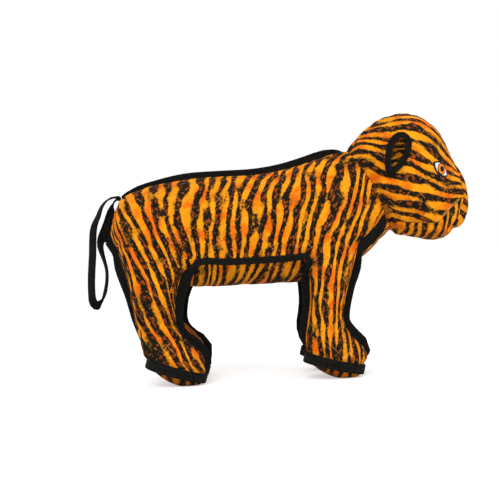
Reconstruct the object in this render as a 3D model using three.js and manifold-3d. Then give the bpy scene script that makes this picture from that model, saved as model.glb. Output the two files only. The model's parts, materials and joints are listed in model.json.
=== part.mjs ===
// A stuffed toy tiger that stands on four padded feet, with bound seams, cupped ears and a webbing loop
// for a tail. It is drawn with its rump at X = 0, +X to the nose, +Z up and the floor at Z = 0, and is
// centred at the end.
import * as THREE from "three";
import { mergeVertices } from "three/addons/utils/BufferGeometryUtils.js";
import Module from "manifold-3d";

const wasm = await Module();
wasm.setup();

// Driving sizes, in millimetres
const bodyLength = 298; // from the rump to the foot of the neck seam
const bodyWidth = 118;
const bellyHeight = 98.8; // from the floor to the underside of the belly
const backHeight = 215.6; // from the floor to the spine seam at mid-back
const headLength = 127;
const headHeight = 137;
const headWidth = 126;
const chinDrop = 12.7; // how far the chin hangs below the foot of the neck seam
const legSpacing = 76; // between the middle planes of the left and right legs
const legThickness = 47;
const footLength = 63;
const soleLength = 56.5;
const heelHeight = { front: 22, hind: 24.3 }; // the sole seam slopes from the heel down to the toe
const toeHeight = { front: 7.4, hind: 6.4 };
const soleShift = { front: 0.4, hind: 4.8 }; // how far each sole lies ahead of the heel above it
const floorBite = 0.5; // how much of a sole is pressed flat by the floor
const tapeWidth = 10.5; // a binding tape folded over a seam, from seam to fold
const tapeThickness = 3.2;
const footTapeThickness = 2.6;
const gap = 0.3; // between pieces that are sewn to each other
const seamBite = 3; // how far a tape starts inside the surface that it is sewn to, before it is cut
const cutOverrun = 40; // how far a cutting block runs past what it cuts

// How round a ring is: 1 is an ellipse, and less is nearer to a rounded box
const torsoRoundShare = 0.93;
const limbRoundShare = 0.952;

// How fine the curved forms are: sides of a ring, rings of a form, steps of a seam
const roundSides = 24;
const legSides = 18;
const torsoRings = 23;
const legRings = 14;
const headRings = 25;
const spineSteps = 24;
const rumpSteps = 7;
const rearSteps = 17;
const bellySteps = 40;
const chestSteps = 24;
const footSteps = 22;
const curveDivisions = 400;
const slopeStepShare = 0.001;
const eyeCurveSteps = 6;
const rootSides = 14;

const black = new THREE.MeshStandardMaterial({ color: 0x161614, roughness: 0.85, metalness: 0 });
const plush = new THREE.MeshStandardMaterial({ color: 0xf08a1c, roughness: 0.95, metalness: 0 });
const white = new THREE.MeshStandardMaterial({ color: 0xe6e2e0, roughness: 0.7, metalness: 0 });
const amber = new THREE.MeshStandardMaterial({ color: 0xf07d12, roughness: 0.7, metalness: 0 });

// Solids and meshes

function solidFrom(geometry) {
  const bare = new THREE.BufferGeometry().setAttribute("position", geometry.getAttribute("position"));
  if (geometry.index) {
    bare.setIndex(geometry.index);
  }
  const merged = mergeVertices(bare);
  return new wasm.Manifold(
    new wasm.Mesh({
      numProp: 3,
      vertProperties: merged.attributes.position.array,
      triVerts: new Uint32Array(merged.index.array),
    }),
  );
}

function geometryFrom(solid) {
  const mesh = solid.getMesh();
  const positions = new Float32Array(mesh.numVert * 3);
  for (let i = 0; i < mesh.numVert; i++) {
    positions.set(mesh.vertProperties.subarray(i * mesh.numProp, i * mesh.numProp + 3), i * 3);
  }
  return new THREE.BufferGeometry()
    .setAttribute("position", new THREE.BufferAttribute(positions, 3))
    .setIndex(new THREE.BufferAttribute(mesh.triVerts, 1));
}

// A cut can leave crumbs beside the piece itself, which are dropped.
function largestPiece(solid) {
  return solid.decompose().reduce((best, piece) => (piece.volume() > best.volume() ? piece : best));
}

function cutBy(solid, cutters) {
  return largestPiece(cutters.reduce((left, cutter) => left.subtract(cutter), solid));
}

function pieceMesh(name, solid, material) {
  const mesh = new THREE.Mesh(geometryFrom(solid), material);
  mesh.name = name;
  return mesh;
}

const mirrored = (solid) => solid.mirror([0, 1, 0]);

function pair(name, solid, material) {
  return {
    right: pieceMesh(`${name}_right`, solid, material),
    left: pieceMesh(`${name}_left`, mirrored(solid), material),
  };
}

// Stuffed forms: rings that swell and taper between an upper and a lower edge

const lerpCubic = (a, b, c, d, t) =>
  b + 0.5 * t * (c - a + t * (2 * a - 5 * b + 4 * c - d + t * (3 * (b - c) + d - a)));

function between(stations, place) {
  const last = stations.length - 1;
  const at = Math.min(Math.max(place, 0), 1) * last;
  const i = Math.min(Math.floor(at), last - 1);
  const four = [Math.max(i - 1, 0), i, i + 1, Math.min(i + 2, last)].map((k) => stations[k]);
  const mix = (read) => lerpCubic(...four.map(read), at - i);
  return {
    upper: new THREE.Vector3(mix((s) => s.upper.x), mix((s) => s.upper.y), mix((s) => s.upper.z)),
    lower: new THREE.Vector3(mix((s) => s.lower.x), mix((s) => s.lower.y), mix((s) => s.lower.z)),
    half: mix((s) => s.half),
  };
}

const power = (value, exponent) => Math.sign(value) * Math.abs(value) ** exponent;

function ringPoint(form, station, angle, grow = 0) {
  const middle = station.upper.clone().add(station.lower).multiplyScalar(0.5);
  const rise = station.upper.clone().sub(middle);
  rise.setLength(rise.length() + grow);
  const aside = new THREE.Vector3(0, station.half + grow, 0);
  return middle
    .addScaledVector(rise, power(Math.cos(angle), form.roundShare))
    .addScaledVector(aside, power(Math.sin(angle), form.roundShare));
}

function pointOn(form, place, angle, grow = 0) {
  return ringPoint(form, between(form.stations, place), angle, grow);
}

function normalOn(form, place, angle) {
  const ahead = slopeStepShare;
  const along = pointOn(form, place + ahead, angle).sub(pointOn(form, place - ahead, angle));
  const round = pointOn(form, place, angle + ahead).sub(pointOn(form, place, angle - ahead));
  return along.cross(round).normalize();
}

// Joins rings of points into a closed skin, with a middle point at each end.
function skin(rings, start, end) {
  const sides = rings[0].length;
  const points = [start, ...rings.flat(), end];
  const faces = [];
  const at = (ring, side) => 1 + ring * sides + (side % sides);
  for (let side = 0; side < sides; side++) {
    faces.push(0, at(0, side), at(0, side + 1));
    for (let ring = 0; ring < rings.length - 1; ring++) {
      faces.push(at(ring, side), at(ring + 1, side), at(ring + 1, side + 1));
      faces.push(at(ring, side), at(ring + 1, side + 1), at(ring, side + 1));
    }
    faces.push(points.length - 1, at(rings.length - 1, side + 1), at(rings.length - 1, side));
  }
  return new THREE.BufferGeometry().setFromPoints(points).setIndex(faces);
}

const middleOf = (ring) =>
  ring.reduce((sum, point) => sum.add(point), new THREE.Vector3()).divideScalar(ring.length);

// The solid of a stuffed form, grown all over by a small amount where it is used to cut its neighbours
function stuffed(form, grow = 0) {
  const places = Array.from({ length: form.rings }, (_, i) => i / (form.rings - 1));
  const angles = Array.from({ length: form.sides }, (_, i) => (2 * Math.PI * i) / form.sides);
  const rings = places.map((place) => angles.map((angle) => pointOn(form, place, angle, grow)));
  const axisStart = middleOf(rings[0]).sub(middleOf(rings[1])).normalize();
  const axisEnd = middleOf(rings.at(-1)).sub(middleOf(rings.at(-2))).normalize();
  const start = (form.startTip ?? middleOf(rings[0])).clone();
  const end = (form.endTip ?? middleOf(rings.at(-1))).clone();
  if (grow > 0) {
    rings[0].forEach((point) => point.addScaledVector(axisStart, grow));
    rings.at(-1).forEach((point) => point.addScaledVector(axisEnd, grow));
    start.addScaledVector(axisStart, grow);
    end.addScaledVector(axisEnd, grow);
  }
  return solidFrom(skin(rings, start, end));
}

// Torso

// Each row: upper edge along and up, lower edge along and up, half width. Heights run from belly to back.
const torsoShares = [
  [0.012, 0.638, 0.003, 0.501, 0.24],
  [0.032, 0.788, 0.012, 0.428, 0.41],
  [0.058, 0.865, 0.03, 0.343, 0.58],
  [0.139, 0.938, 0.114, 0.218, 0.79],
  [0.215, 0.968, 0.201, 0.069, 0.915],
  [0.309, 0.997, 0.295, 0.004, 0.975],
  [0.43, 1, 0.43, 0, 1],
  [0.53, 1, 0.544, 0, 1],
  [0.614, 1.025, 0.644, 0, 1],
  [0.685, 1.065, 0.745, 0.012, 0.985],
  [0.745, 1.11, 0.832, 0.078, 0.95],
  [0.799, 1.147, 0.913, 0.232, 0.88],
  [0.836, 1.17, 0.97, 0.365, 0.785],
  [0.859, 1.182, 1, 0.431, 0.715],
];
const rumpTipShare = 0.538;
const bodyDepth = backHeight - bellyHeight;
const bodyZ = (share) => bellyHeight + share * bodyDepth;

const torso = {
  stations: torsoShares.map(([upperX, upperZ, lowerX, lowerZ, half]) => ({
    upper: new THREE.Vector3(upperX * bodyLength, 0, bodyZ(upperZ)),
    lower: new THREE.Vector3(lowerX * bodyLength, 0, bodyZ(lowerZ)),
    half: (half * bodyWidth) / 2,
  })),
  startTip: new THREE.Vector3(0, 0, bodyZ(rumpTipShare)),
  roundShare: torsoRoundShare,
  rings: torsoRings,
  sides: roundSides,
};
const torsoSolid = stuffed(torso);
const torsoCutter = stuffed(torso, gap);

// Legs

// Each row: rear edge along and up, front edge along and up, half thickness, distance from the toy's middle.
// Lengths along are counted from the heel in foot lengths, heights in leg lengths.
const frontLegShares = [
  [-0.003, 0.3, 1.016, 0.2, 1.02, 1],
  [0.002, 0.37, 0.93, 0.32, 1, 1],
  [0.011, 0.46, 0.73, 0.44, 0.935, 1],
  [0.04, 0.56, 0.646, 0.56, 0.9, 1],
  [0.079, 0.68, 0.646, 0.69, 0.9, 1],
  [0.1, 0.82, 0.694, 0.83, 0.93, 1],
  [0.11, 0.97, 0.762, 0.98, 1, 0.985],
  [0.087, 1.12, 0.833, 1.13, 1.06, 0.96],
  [0.056, 1.28, 0.929, 1.29, 1.06, 0.92],
  [0.087, 1.45, 0.98, 1.47, 0.98, 0.88],
  [0.214, 1.6, 0.889, 1.62, 0.7, 0.84],
];
const hindLegShares = [
  [-0.006, 0.31, 1, 0.22, 1.02, 1],
  [-0.025, 0.38, 0.944, 0.34, 1, 1],
  [-0.048, 0.46, 0.77, 0.43, 0.96, 1],
  [-0.079, 0.56, 0.611, 0.54, 0.915, 1],
  [-0.116, 0.68, 0.552, 0.67, 0.915, 1],
  [-0.152, 0.82, 0.551, 0.8, 0.98, 0.985],
  [-0.184, 0.97, 0.584, 0.95, 1.06, 0.95],
  [-0.228, 1.12, 0.675, 1.11, 1.1, 0.86],
  [-0.3, 1.28, 0.841, 1.26, 1.08, 0.76],
  [-0.38, 1.45, 0.905, 1.42, 1, 0.66],
  [-0.39, 1.62, 0.714, 1.58, 0.72, 0.6],
];
const footTapeShares = { above: 0.5, below: 0.5 }; // of the tape's width, from the seam that it covers
const frontHeelShare = 0.673;
const hindHeelShare = 0.11;
const legSide = -legSpacing / 2; // the right legs, on the side that the viewer sees

// The ring where the sole is sewn on, sloping from heel to toe, or one below it, smaller and further forward
const soleAt = (heelX, foot) => ({
  heel: new THREE.Vector3(heelX, legSide, heelHeight[foot]),
  toe: new THREE.Vector3(heelX + soleLength, legSide, toeHeight[foot]),
  down: new THREE.Vector3(toeHeight[foot] - heelHeight[foot], 0, -soleLength).normalize(),
});

function soleStation({ heel, toe, down }, drop = 0, sizeShare = 1, slideShare = 0) {
  const middle = heel.clone().lerp(toe, 0.5 + slideShare).addScaledVector(down, drop);
  const reach = toe.clone().sub(heel).multiplyScalar(sizeShare / 2);
  return {
    upper: middle.clone().sub(reach),
    lower: middle.clone().add(reach),
    half: (sizeShare * legThickness) / 2,
  };
}

function legForm(heelX, sole, shares) {
  return {
    stations: [
      soleStation(sole),
      soleStation(sole, -footTapeShares.above * tapeWidth),
      ...shares.map(([rearX, rearZ, frontX, frontZ, half, side]) => ({
        upper: new THREE.Vector3(heelX + rearX * footLength, side * legSide, rearZ * bellyHeight),
        lower: new THREE.Vector3(heelX + frontX * footLength, side * legSide, frontZ * bellyHeight),
        half: (half * legThickness) / 2,
      })),
    ],
    roundShare: limbRoundShare,
    rings: legRings,
    sides: legSides,
  };
}

// The padded sole: a dome below the sewn ring, pressed flat where it stands. Each row: how deep it is,
// how large and how far it has slid towards the toe.
const soleDomeShares = [
  [0.965, 0.3, 0.14],
  [0.86, 0.52, 0.12],
  [0.66, 0.7, 0.09],
  [0.45, 0.85, 0.055],
  [0.27, 0.95, 0.02],
  [0, 0.93, 0],
];
const soleTipShare = 0.145;

function soleSolid(sole) {
  const tip = soleStation(sole, 0, 0, soleTipShare).upper;
  const soleDepth = (tip.z + floorBite) / -sole.down.z;
  const stations = soleDomeShares.map(([dropShare, sizeShare, slideShare]) =>
    soleStation(sole, gap + dropShare * (soleDepth - gap), sizeShare, slideShare),
  );
  const form = {
    stations,
    startTip: tip.addScaledVector(sole.down, soleDepth),
    roundShare: limbRoundShare,
    rings: stations.length,
    sides: legSides,
  };
  const below = new THREE.BoxGeometry(2 * soleLength, 2 * legThickness, cutOverrun);
  return stuffed(form).subtract(solidFrom(below.translate(form.startTip.x, legSide, -cutOverrun / 2)));
}

// Binding tapes: a folded strip swept along a seam, standing out of it

// Corners of the strip's section, as shares of its width outwards and of its thickness
const foldShares = [
  [0.84, 0.5],
  [1, 0.22],
  [1, -0.22],
  [0.84, -0.5],
];

// A tape narrows towards an end that is tucked under another piece.
const tuckShares = { run: 0.06, tip: 0.3 };

function tuckAt(share, size) {
  const widening = (1 - tuckShares.tip) / tuckShares.run;
  const fade = (distance) => Math.min(tuckShares.tip + widening * distance, 1);
  return Math.min(size.tuckStart ? fade(share) : 1, size.tuckEnd ? fade(1 - share) : 1);
}

function tapeSolid(path, size) {
  const corners = [
    [-size.bite, size.thickness / 2],
    ...foldShares.map(([out, side]) => [out * size.width, side * size.thickness]),
    [-size.bite, -size.thickness / 2],
  ];
  const rings = path.map(({ at, out, along }, i) => {
    const outward = out.clone().addScaledVector(along, -out.dot(along)).normalize();
    const across = along.clone().cross(outward).normalize();
    const tuck = tuckAt(i / (path.length - 1), size);
    return corners.map(([far, side]) =>
      at.clone().addScaledVector(outward, far > 0 ? far * tuck : far).addScaledVector(across, side),
    );
  });
  if (!size.closed) {
    return solidFrom(skin(rings, middleOf(rings[0]), middleOf(rings.at(-1))));
  }
  const points = rings.flat();
  const faces = [];
  const count = corners.length;
  rings.forEach((_, ring) => {
    const next = (ring + 1) % rings.length;
    for (let side = 0; side < count; side++) {
      const turn = (side + 1) % count;
      faces.push(ring * count + side, next * count + side, next * count + turn);
      faces.push(ring * count + side, next * count + turn, ring * count + turn);
    }
  });
  return solidFrom(new THREE.BufferGeometry().setFromPoints(points).setIndex(faces));
}

// Even steps along a smooth line through places, each with the way the tape points there
function tapePath(places, steps) {
  const curve = new THREE.CatmullRomCurve3(places.map((place) => place.at), false, "centripetal");
  const outs = new THREE.CatmullRomCurve3(places.map((place) => place.out), false, "centripetal");
  curve.arcLengthDivisions = curveDivisions;
  return Array.from({ length: steps + 1 }, (_, i) => {
    const t = curve.getUtoTmapping(i / steps);
    return { at: curve.getPoint(t), out: outs.getPoint(t).normalize(), along: curve.getTangent(t) };
  });
}

const outTo = (x, y, z) => new THREE.Vector3(x, y, z).normalize();

// A stop on a seam. The panels swell past the seam, which hides the inner part of the tape in the fold.
const stop = (at, out, hiddenShare = 0, width = tapeWidth) => ({
  at: at.clone().addScaledVector(out, -hiddenShare * width),
  out,
});

// The spine seam runs from the neck over the back to the root of the tail.
const spineTapeWidth = 7.7;
const spineTapeThickness = 4;
const tape = { width: tapeWidth, thickness: tapeThickness, bite: seamBite, closed: false };
const spineTape = { ...tape, width: spineTapeWidth, thickness: spineTapeThickness };
const grown = (size) => ({
  ...size,
  width: size.width + gap,
  thickness: size.thickness + 2 * gap,
  bite: size.bite + gap,
});
const spineShares = { neck: 0.953, tail: 0.11 };
const spineHiddenShares = [0.2, 0.1, 0, 0, 0.04, 0.08, 0.14, 0.12, 0.28, 0.42, 0.6]; // from neck to tail

function spinePath() {
  const span = spineShares.tail - spineShares.neck;
  const places = spineHiddenShares.map((hidden, i) => {
    const along = spineShares.neck + (i / (spineHiddenShares.length - 1)) * span;
    return stop(pointOn(torso, along, 0), normalOn(torso, along, 0), hidden, spineTapeWidth);
  });
  return tapePath(places, spineSteps);
}

// Below the tail the middle seam runs down the rump and parts into one seam for each hind leg.
const rumpSplitShare = 0.046; // along the torso
const rumpTopShare = 0.42; // of the way from the torso's second ring up to its first

function rumpPath() {
  const [first, second] = torso.stations;
  const top = second.upper.clone().lerp(first.upper, rumpTopShare);
  return tapePath(
    [
      stop(top, outTo(-1, 0, 0.35), 0.6),
      stop(first.upper.clone(), outTo(-1, 0, 0.25), 0.44),
      stop(torso.startTip, outTo(-1, 0, 0), 0.2),
      stop(between(torso.stations, rumpSplitShare).lower, outTo(-1, 0, -0.1), 0.14),
    ],
    rumpSteps,
  );
}

// Leg edges are the foremost and rearmost lines of a leg, where its outer and inner panels meet.
const edgePoint = (form, station, edge) => form.stations[station][edge].clone();
const legPoint = (leg, station, turn) =>
  pointOn(leg, station / (leg.stations.length - 1), THREE.MathUtils.degToRad(turn));

// How the rear seam of a hind leg runs: the leg's station, the angle round it in degrees, the tape's slope
// and the share of it that the fold hides
const hindRearShares = [
  [10.8, 20, -0.25, 0.12],
  [10, 8, -0.2, 0.12],
  [9.3, 0, -0.15, 0.2],
  [8, 0, -0.1, 0.48],
  [7, 0, -0.1, 0.64],
  [6, 0, -0.1, 0.75],
  [5, 0, -0.1, 0.85],
  [4, 0, -0.1, 0.94],
  [3, 0, 0, 1],
];

function hindRearPath(leg) {
  const split = between(torso.stations, rumpSplitShare).lower;
  const beside = new THREE.Vector3(0, -tapeThickness / 2 - gap, -gap);
  const places = [
    stop(split.clone().add(beside), outTo(-1, 0, -0.3), 0.2),
    ...hindRearShares.map(([station, turn, slope, hidden]) =>
      stop(legPoint(leg, station, turn), outTo(-1, 0, slope), hidden),
    ),
  ];
  return tapePath(places, rearSteps);
}

// A leg tape stops on top of the tape round the foot.
const footEndShare = 0.15; // of the way from the top of the foot's tape to the leg's next ring

function footEnd(leg, edge) {
  return edgePoint(leg, 1, edge).lerp(edgePoint(leg, 2, edge), footEndShare);
}

const gussetAngle = THREE.MathUtils.degToRad(-119); // round a torso ring from the spine to the belly seam
const bellyShares = [0.395, 0.455, 0.52, 0.585, 0.631, 0.663];
const bellyHiddenShare = 0.26;
const bellyOut = outTo(0, -0.65, -0.76);

function archPath(hindLeg, frontLeg) {
  const hidden = bellyHiddenShare;
  const lower = (station, out, share) => stop(edgePoint(hindLeg, station, "lower"), out, share);
  const upper = (station, out, share) => stop(edgePoint(frontLeg, station, "upper"), out, share);
  const places = [
    stop(footEnd(hindLeg, "lower"), outTo(1, 0, 0.2)),
    lower(3, outTo(1, 0, 0.3), hidden / 2),
    ...[4, 5, 6].map((station) => lower(station, outTo(1, 0, 0.1), hidden)),
    lower(7, outTo(1, 0, 0.1), hidden / 2),
    lower(8, outTo(1, -0.1, -0.3), 0),
    ...bellyShares.map((along) => stop(pointOn(torso, along, gussetAngle), bellyOut, hidden)),
    upper(8, outTo(-1, -0.1, -0.15), hidden / 2),
    ...[7, 6, 5, 4, 3].map((station) => upper(station, outTo(-1, 0, 0), hidden)),
    stop(footEnd(frontLeg, "upper"), outTo(-1, 0, 0), hidden),
  ];
  return tapePath(places, bellySteps);
}

// Where the chest seam runs on the torso: the place along it and the angle round it in degrees
const chestShares = [
  [0.806, -133],
  [0.848, -132.5],
  [0.894, -131.5],
  [0.94, -130],
  [0.977, -128],
];
const chestOut = outTo(0.65, -0.3, -0.65);
const chestHiddenShare = 0.33;

function chestPath(leg) {
  const places = [
    stop(footEnd(leg, "lower"), outTo(1, 0, 0.3), 0.6),
    stop(edgePoint(leg, 3, "lower"), outTo(1, 0, 0.6), 0.3),
    stop(edgePoint(leg, 4, "lower"), outTo(1, 0, 0.6), 0.1),
    ...[5, 6, 7, 8].map((station) =>
      stop(edgePoint(leg, station, "lower"), outTo(1, 0, 0), chestHiddenShare),
    ),
    stop(edgePoint(leg, 9, "lower"), outTo(1, -0.1, -0.3), chestHiddenShare / 2),
    ...chestShares.map(([along, turn]) =>
      stop(pointOn(torso, along, THREE.MathUtils.degToRad(turn)), chestOut),
    ),
  ];
  return tapePath(places, chestSteps);
}

// The tape round a foot lies flat against it, with its fold at the bottom.
function footTape(sole, grow = 0) {
  const station = soleStation(sole);
  const form = { roundShare: limbRoundShare };
  const steps = footSteps;
  const outward = 2 * gap + footTapeThickness / 2;
  const points = Array.from({ length: steps }, (_, i) =>
    ringPoint(form, station, (2 * Math.PI * i) / steps, outward),
  );
  const path = points.map((at, i) => ({
    at,
    out: sole.down,
    along: points[(i + 1) % steps].clone().sub(points.at(i - 1)).normalize(),
  }));
  const size = {
    width: footTapeShares.below * tapeWidth + grow,
    thickness: footTapeThickness + 2 * grow,
    bite: footTapeShares.above * tapeWidth + grow,
    closed: true,
  };
  return tapeSolid(path, size);
}

// Head

// Rows as for the torso. Lengths along run from the top of the neck seam, heights from the chin.
const headShares = [
  [0.054, 0.79, 0.378, 0.06, 0.83],
  [0.129, 0.859, 0.433, 0.05, 0.925],
  [0.231, 0.935, 0.496, 0.036, 0.98],
  [0.338, 0.979, 0.559, 0.023, 1],
  [0.441, 1, 0.622, 0.009, 0.985],
  [0.551, 0.993, 0.677, 0.002, 0.94],
  [0.638, 0.96, 0.732, 0, 0.88],
  [0.722, 0.902, 0.78, 0.013, 0.785],
  [0.783, 0.833, 0.819, 0.036, 0.67],
  [0.822, 0.743, 0.858, 0.058, 0.6],
  [0.858, 0.656, 0.898, 0.083, 0.54],
  [0.913, 0.573, 0.937, 0.109, 0.46],
  [0.956, 0.498, 0.965, 0.145, 0.35],
  [0.988, 0.423, 0.987, 0.2, 0.215],
];
const noseTipShares = [1, 0.31];
const neck = torso.stations.at(-1);
const neckForward = new THREE.Vector3(
  neck.upper.z - neck.lower.z,
  0,
  neck.lower.x - neck.upper.x,
).normalize();
const headX = (share) => neck.upper.x + share * headLength;
const headZ = (share) => neck.lower.z - chinDrop + share * headHeight;

const head = {
  stations: [
    {
      upper: neck.upper.clone().addScaledVector(neckForward, gap),
      lower: neck.lower.clone().addScaledVector(neckForward, gap),
      half: neck.half,
    },
    ...headShares.map(([upperX, upperZ, lowerX, lowerZ, half]) => ({
      upper: new THREE.Vector3(headX(upperX), 0, headZ(upperZ)),
      lower: new THREE.Vector3(headX(lowerX), 0, headZ(lowerZ)),
      half: (half * headWidth) / 2,
    })),
  ],
  endTip: new THREE.Vector3(headX(noseTipShares[0]), 0, headZ(noseTipShares[1])),
  roundShare: limbRoundShare,
  rings: headRings,
  sides: roundSides,
};
const wholeHead = stuffed(head);

// The lower jaw seen from the side: along the chin seam, up the fold of the mouth and down behind the
// strip at the front of the muzzle
const jawShares = [
  [-0.3, 0.2],
  [0.2, 0.168],
  [0.44, 0.153],
  [0.67, 0.131],
  [0.71, 0.155],
  [0.77, 0.22],
  [0.83, 0.275],
  [0.88, 0.3],
  [0.91, 0.245],
  [0.9, 0.15],
  [0.855, 0.09],
  [0.83, -0.2],
  [-0.3, -0.2],
];

function jawBlock(shrink) {
  const corners = jawShares.map(([x, z]) => new THREE.Vector2(headX(x), headZ(z)));
  const inset = corners.map((corner, i) => {
    const next = corners[(i + 1) % corners.length];
    const side = next.clone().sub(corners.at(i - 1)).normalize();
    return corner.clone().addScaledVector(new THREE.Vector2(-side.y, side.x), -shrink);
  });
  const block = new THREE.ExtrudeGeometry(new THREE.Shape(inset), {
    depth: headWidth + cutOverrun,
    bevelEnabled: false,
  });
  return solidFrom(block.rotateX(Math.PI / 2).translate(0, (headWidth + cutOverrun) / 2, 0));
}

const headSolid = cutBy(wholeHead, [jawBlock(0)]);
const jawSolid = largestPiece(wholeHead.intersect(jawBlock(gap)));

// Eyes: patches that follow the face

const eyeLength = 22;
const eyeHeight = 14;
const eyeThickness = 1.2;
const irisWidth = 10.5;
const irisHeight = 10.8;
const irisThickness = 0.6;
const eyePlace = { along: 0.54, angle: THREE.MathUtils.degToRad(-83.5) };
const eyeTilt = THREE.MathUtils.degToRad(-42); // the inner corner is lower

function facePatch(shape, tilt, low, high) {
  const at = pointOn(head, eyePlace.along, eyePlace.angle);
  const normal = normalOn(head, eyePlace.along, eyePlace.angle);
  const level = new THREE.Vector3(0, 0, 1).cross(normal).normalize();
  const upward = normal.clone().cross(level);
  const geometry = new THREE.ExtrudeGeometry(shape, {
    depth: eyeLength,
    bevelEnabled: false,
    curveSegments: eyeCurveSteps,
  });
  geometry.translate(0, 0, -eyeLength / 2).rotateZ(tilt);
  geometry.applyMatrix4(new THREE.Matrix4().makeBasis(level, upward, normal).setPosition(at));
  return largestPiece(solidFrom(geometry).intersect(stuffed(head, high)).subtract(stuffed(head, low)));
}

function almondShape() {
  const shape = new THREE.Shape();
  shape.moveTo(-eyeLength / 2, 0);
  shape.quadraticCurveTo(0, eyeHeight, eyeLength / 2, 0);
  shape.quadraticCurveTo(0, -eyeHeight, -eyeLength / 2, 0);
  return shape;
}

const irisShape = new THREE.Shape();
irisShape.absellipse(0, 0, irisWidth / 2, irisHeight / 2, 0, 2 * Math.PI, false, 0);
const eyeSolid = facePatch(almondShape(), eyeTilt, gap, gap + eyeThickness);
const irisLow = 2 * gap + eyeThickness;
const irisSolid = facePatch(irisShape, 0, irisLow, irisLow + irisThickness);

// Ears: cupped teardrops with a bound rim, sewn to the side of the head at their lower tip

const earLength = 45;
const earWidth = 29;
const earCup = 7; // how far the rim stands out from the bottom of the cup
const earThickness = 3.2;
const earTapeWidth = 6.2;
const earTapeThickness = 4.2;
const earPlace = { along: 0.165, angle: THREE.MathUtils.degToRad(-86) };
const earRise = outTo(0.27, 0.05, 0.96);
const earFacing = outTo(0.45, -0.89, 0);
const earTurns = 20;
const tipShare = 0.75; // how blunt the lower tip is
const tapeFlareShare = 0.35; // how much the tape of the rim leans out of the ear's plane
const dishSizeShares = [0.4, 0.75, 1];
const dishInset = 0.9; // the cloth of the cup ends this far inside the seam of its rim

const earRoot = pointOn(head, earPlace.along, earPlace.angle).addScaledVector(
  normalOn(head, earPlace.along, earPlace.angle),
  gap + earTapeThickness / 2,
);
const earForward = earFacing.clone().addScaledVector(earRise, -earFacing.dot(earRise)).normalize();
const earAcross = earRise.clone().cross(earForward);

// A point of the cup: the way round from the lower tip, its size as a share of the dish, and how far it
// lies off the middle of the cloth
function cupPoint(turn, sizeShare, size, lift) {
  const up = (size.length / 2) * (1 - Math.cos(turn) * sizeShare) + size.foot;
  const aside = (size.width / 2) * Math.sin(turn) * Math.sin(turn / 2) ** tipShare * sizeShare;
  const stand = lift + earCup * sizeShare ** 2 * Math.sin(turn / 2) ** tipShare;
  return earRoot
    .clone()
    .addScaledVector(earRise, up)
    .addScaledVector(earAcross, aside)
    .addScaledVector(earForward, stand);
}

function earSolids() {
  const rimSize = {
    length: earLength - 2 * earTapeWidth,
    width: earWidth - 2 * earTapeWidth,
    foot: earTapeWidth,
  };
  const dishSize = {
    length: rimSize.length - 2 * dishInset,
    width: rimSize.width - 2 * dishInset,
    foot: rimSize.foot + dishInset,
  };
  const turns = Array.from({ length: earTurns }, (_, i) => (2 * Math.PI * i) / earTurns);
  const ring = (share, lift) => turns.map((turn) => cupPoint(turn, share, dishSize, lift));
  const front = dishSizeShares.map((share) => ring(share, earThickness / 2));
  const back = dishSizeShares.map((share) => ring(share, -earThickness / 2)).reverse();
  const bottom = [earThickness / 2, -earThickness / 2].map((lift) => cupPoint(0, 0, dishSize, lift));
  const dish = skin([...front, ...back], ...bottom);
  const rim = turns.map((turn) => cupPoint(turn, 1, rimSize, 0));
  const path = rim.map((at, i) => {
    const along = rim[(i + 1) % earTurns].clone().sub(rim.at(i - 1)).normalize();
    const out = along.clone().cross(earForward).addScaledVector(earForward, tapeFlareShare);
    return { at, out, along };
  });
  const size = { width: earTapeWidth, thickness: earTapeThickness, bite: 0, closed: true };
  const rimCutter = tapeSolid(path, { ...grown(size), bite: 0 });
  return { dish: cutBy(solidFrom(dish), [rimCutter]), rim: tapeSolid(path, size) };
}

// Tail: a loop of webbing whose two ends are folded together into the rump seam

const strapWidth = 9.5;
const strapThickness = 1.8;
const loopDrop = 115; // from the root to the bottom of the loop
const loopReach = 31.5; // how far the loop hangs behind its root
const rootRadius = 2.7;
const rootShare = 0.117; // along the torso
const loopSteps = 60;

// Each row: how far behind the root as a share of the reach, how far below it as a share of the drop, how
// far to the side as a share of the reach, and the heading and the slope of the strap's width in degrees
const loopShares = [
  [-0.012, -0.007, 0, -90, 0],
  [0.149, -0.012, -0.016, -90, 0],
  [0.283, -0.001, -0.048, -82, 0],
  [0.418, 0.022, -0.079, -74, 0],
  [0.575, 0.079, -0.127, -66, 0],
  [0.69, 0.162, -0.19, -55, 0],
  [0.805, 0.23, -0.254, -45, 0],
  [0.86, 0.294, -0.302, -40, 0],
  [0.888, 0.386, -0.343, -38, 0],
  [0.913, 0.515, -0.381, -37, 0],
  [0.956, 0.634, -0.397, -37, 0],
  [0.992, 0.753, -0.397, -37, 0],
  [1.005, 0.865, -0.381, -37, 4],
  [0.995, 0.93, -0.33, -36, 22],
  [0.945, 0.972, -0.2, -34, 58],
  [0.865, 0.985, 0.01, -34, 80],
  [0.775, 0.955, 0.22, -45, 55],
  [0.69, 0.9, 0.333, -58, 25],
  [0.609, 0.812, 0.381, -68, 6],
  [0.569, 0.737, 0.39, -70, 0],
  [0.57, 0.652, 0.381, -70, 0],
  [0.625, 0.576, 0.365, -68, 0],
  [0.695, 0.5, 0.349, -58, 0],
  [0.738, 0.429, 0.33, -45, 0],
  [0.677, 0.359, 0.305, -25, 0],
  [0.539, 0.286, 0.273, -12, 0],
  [0.41, 0.209, 0.235, -8, 0],
  [0.313, 0.14, 0.19, -20, 0],
  [0.24, 0.086, 0.127, -55, 0],
  [0.185, 0.05, 0.07, -80, 0],
  [0.109, 0.02, 0.025, -88, 0],
  [0.007, 0.003, 0, -90, 0],
];
const rootAt = pointOn(torso, rootShare, 0).addScaledVector(normalOn(torso, rootShare, 0), rootRadius + gap);

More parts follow.
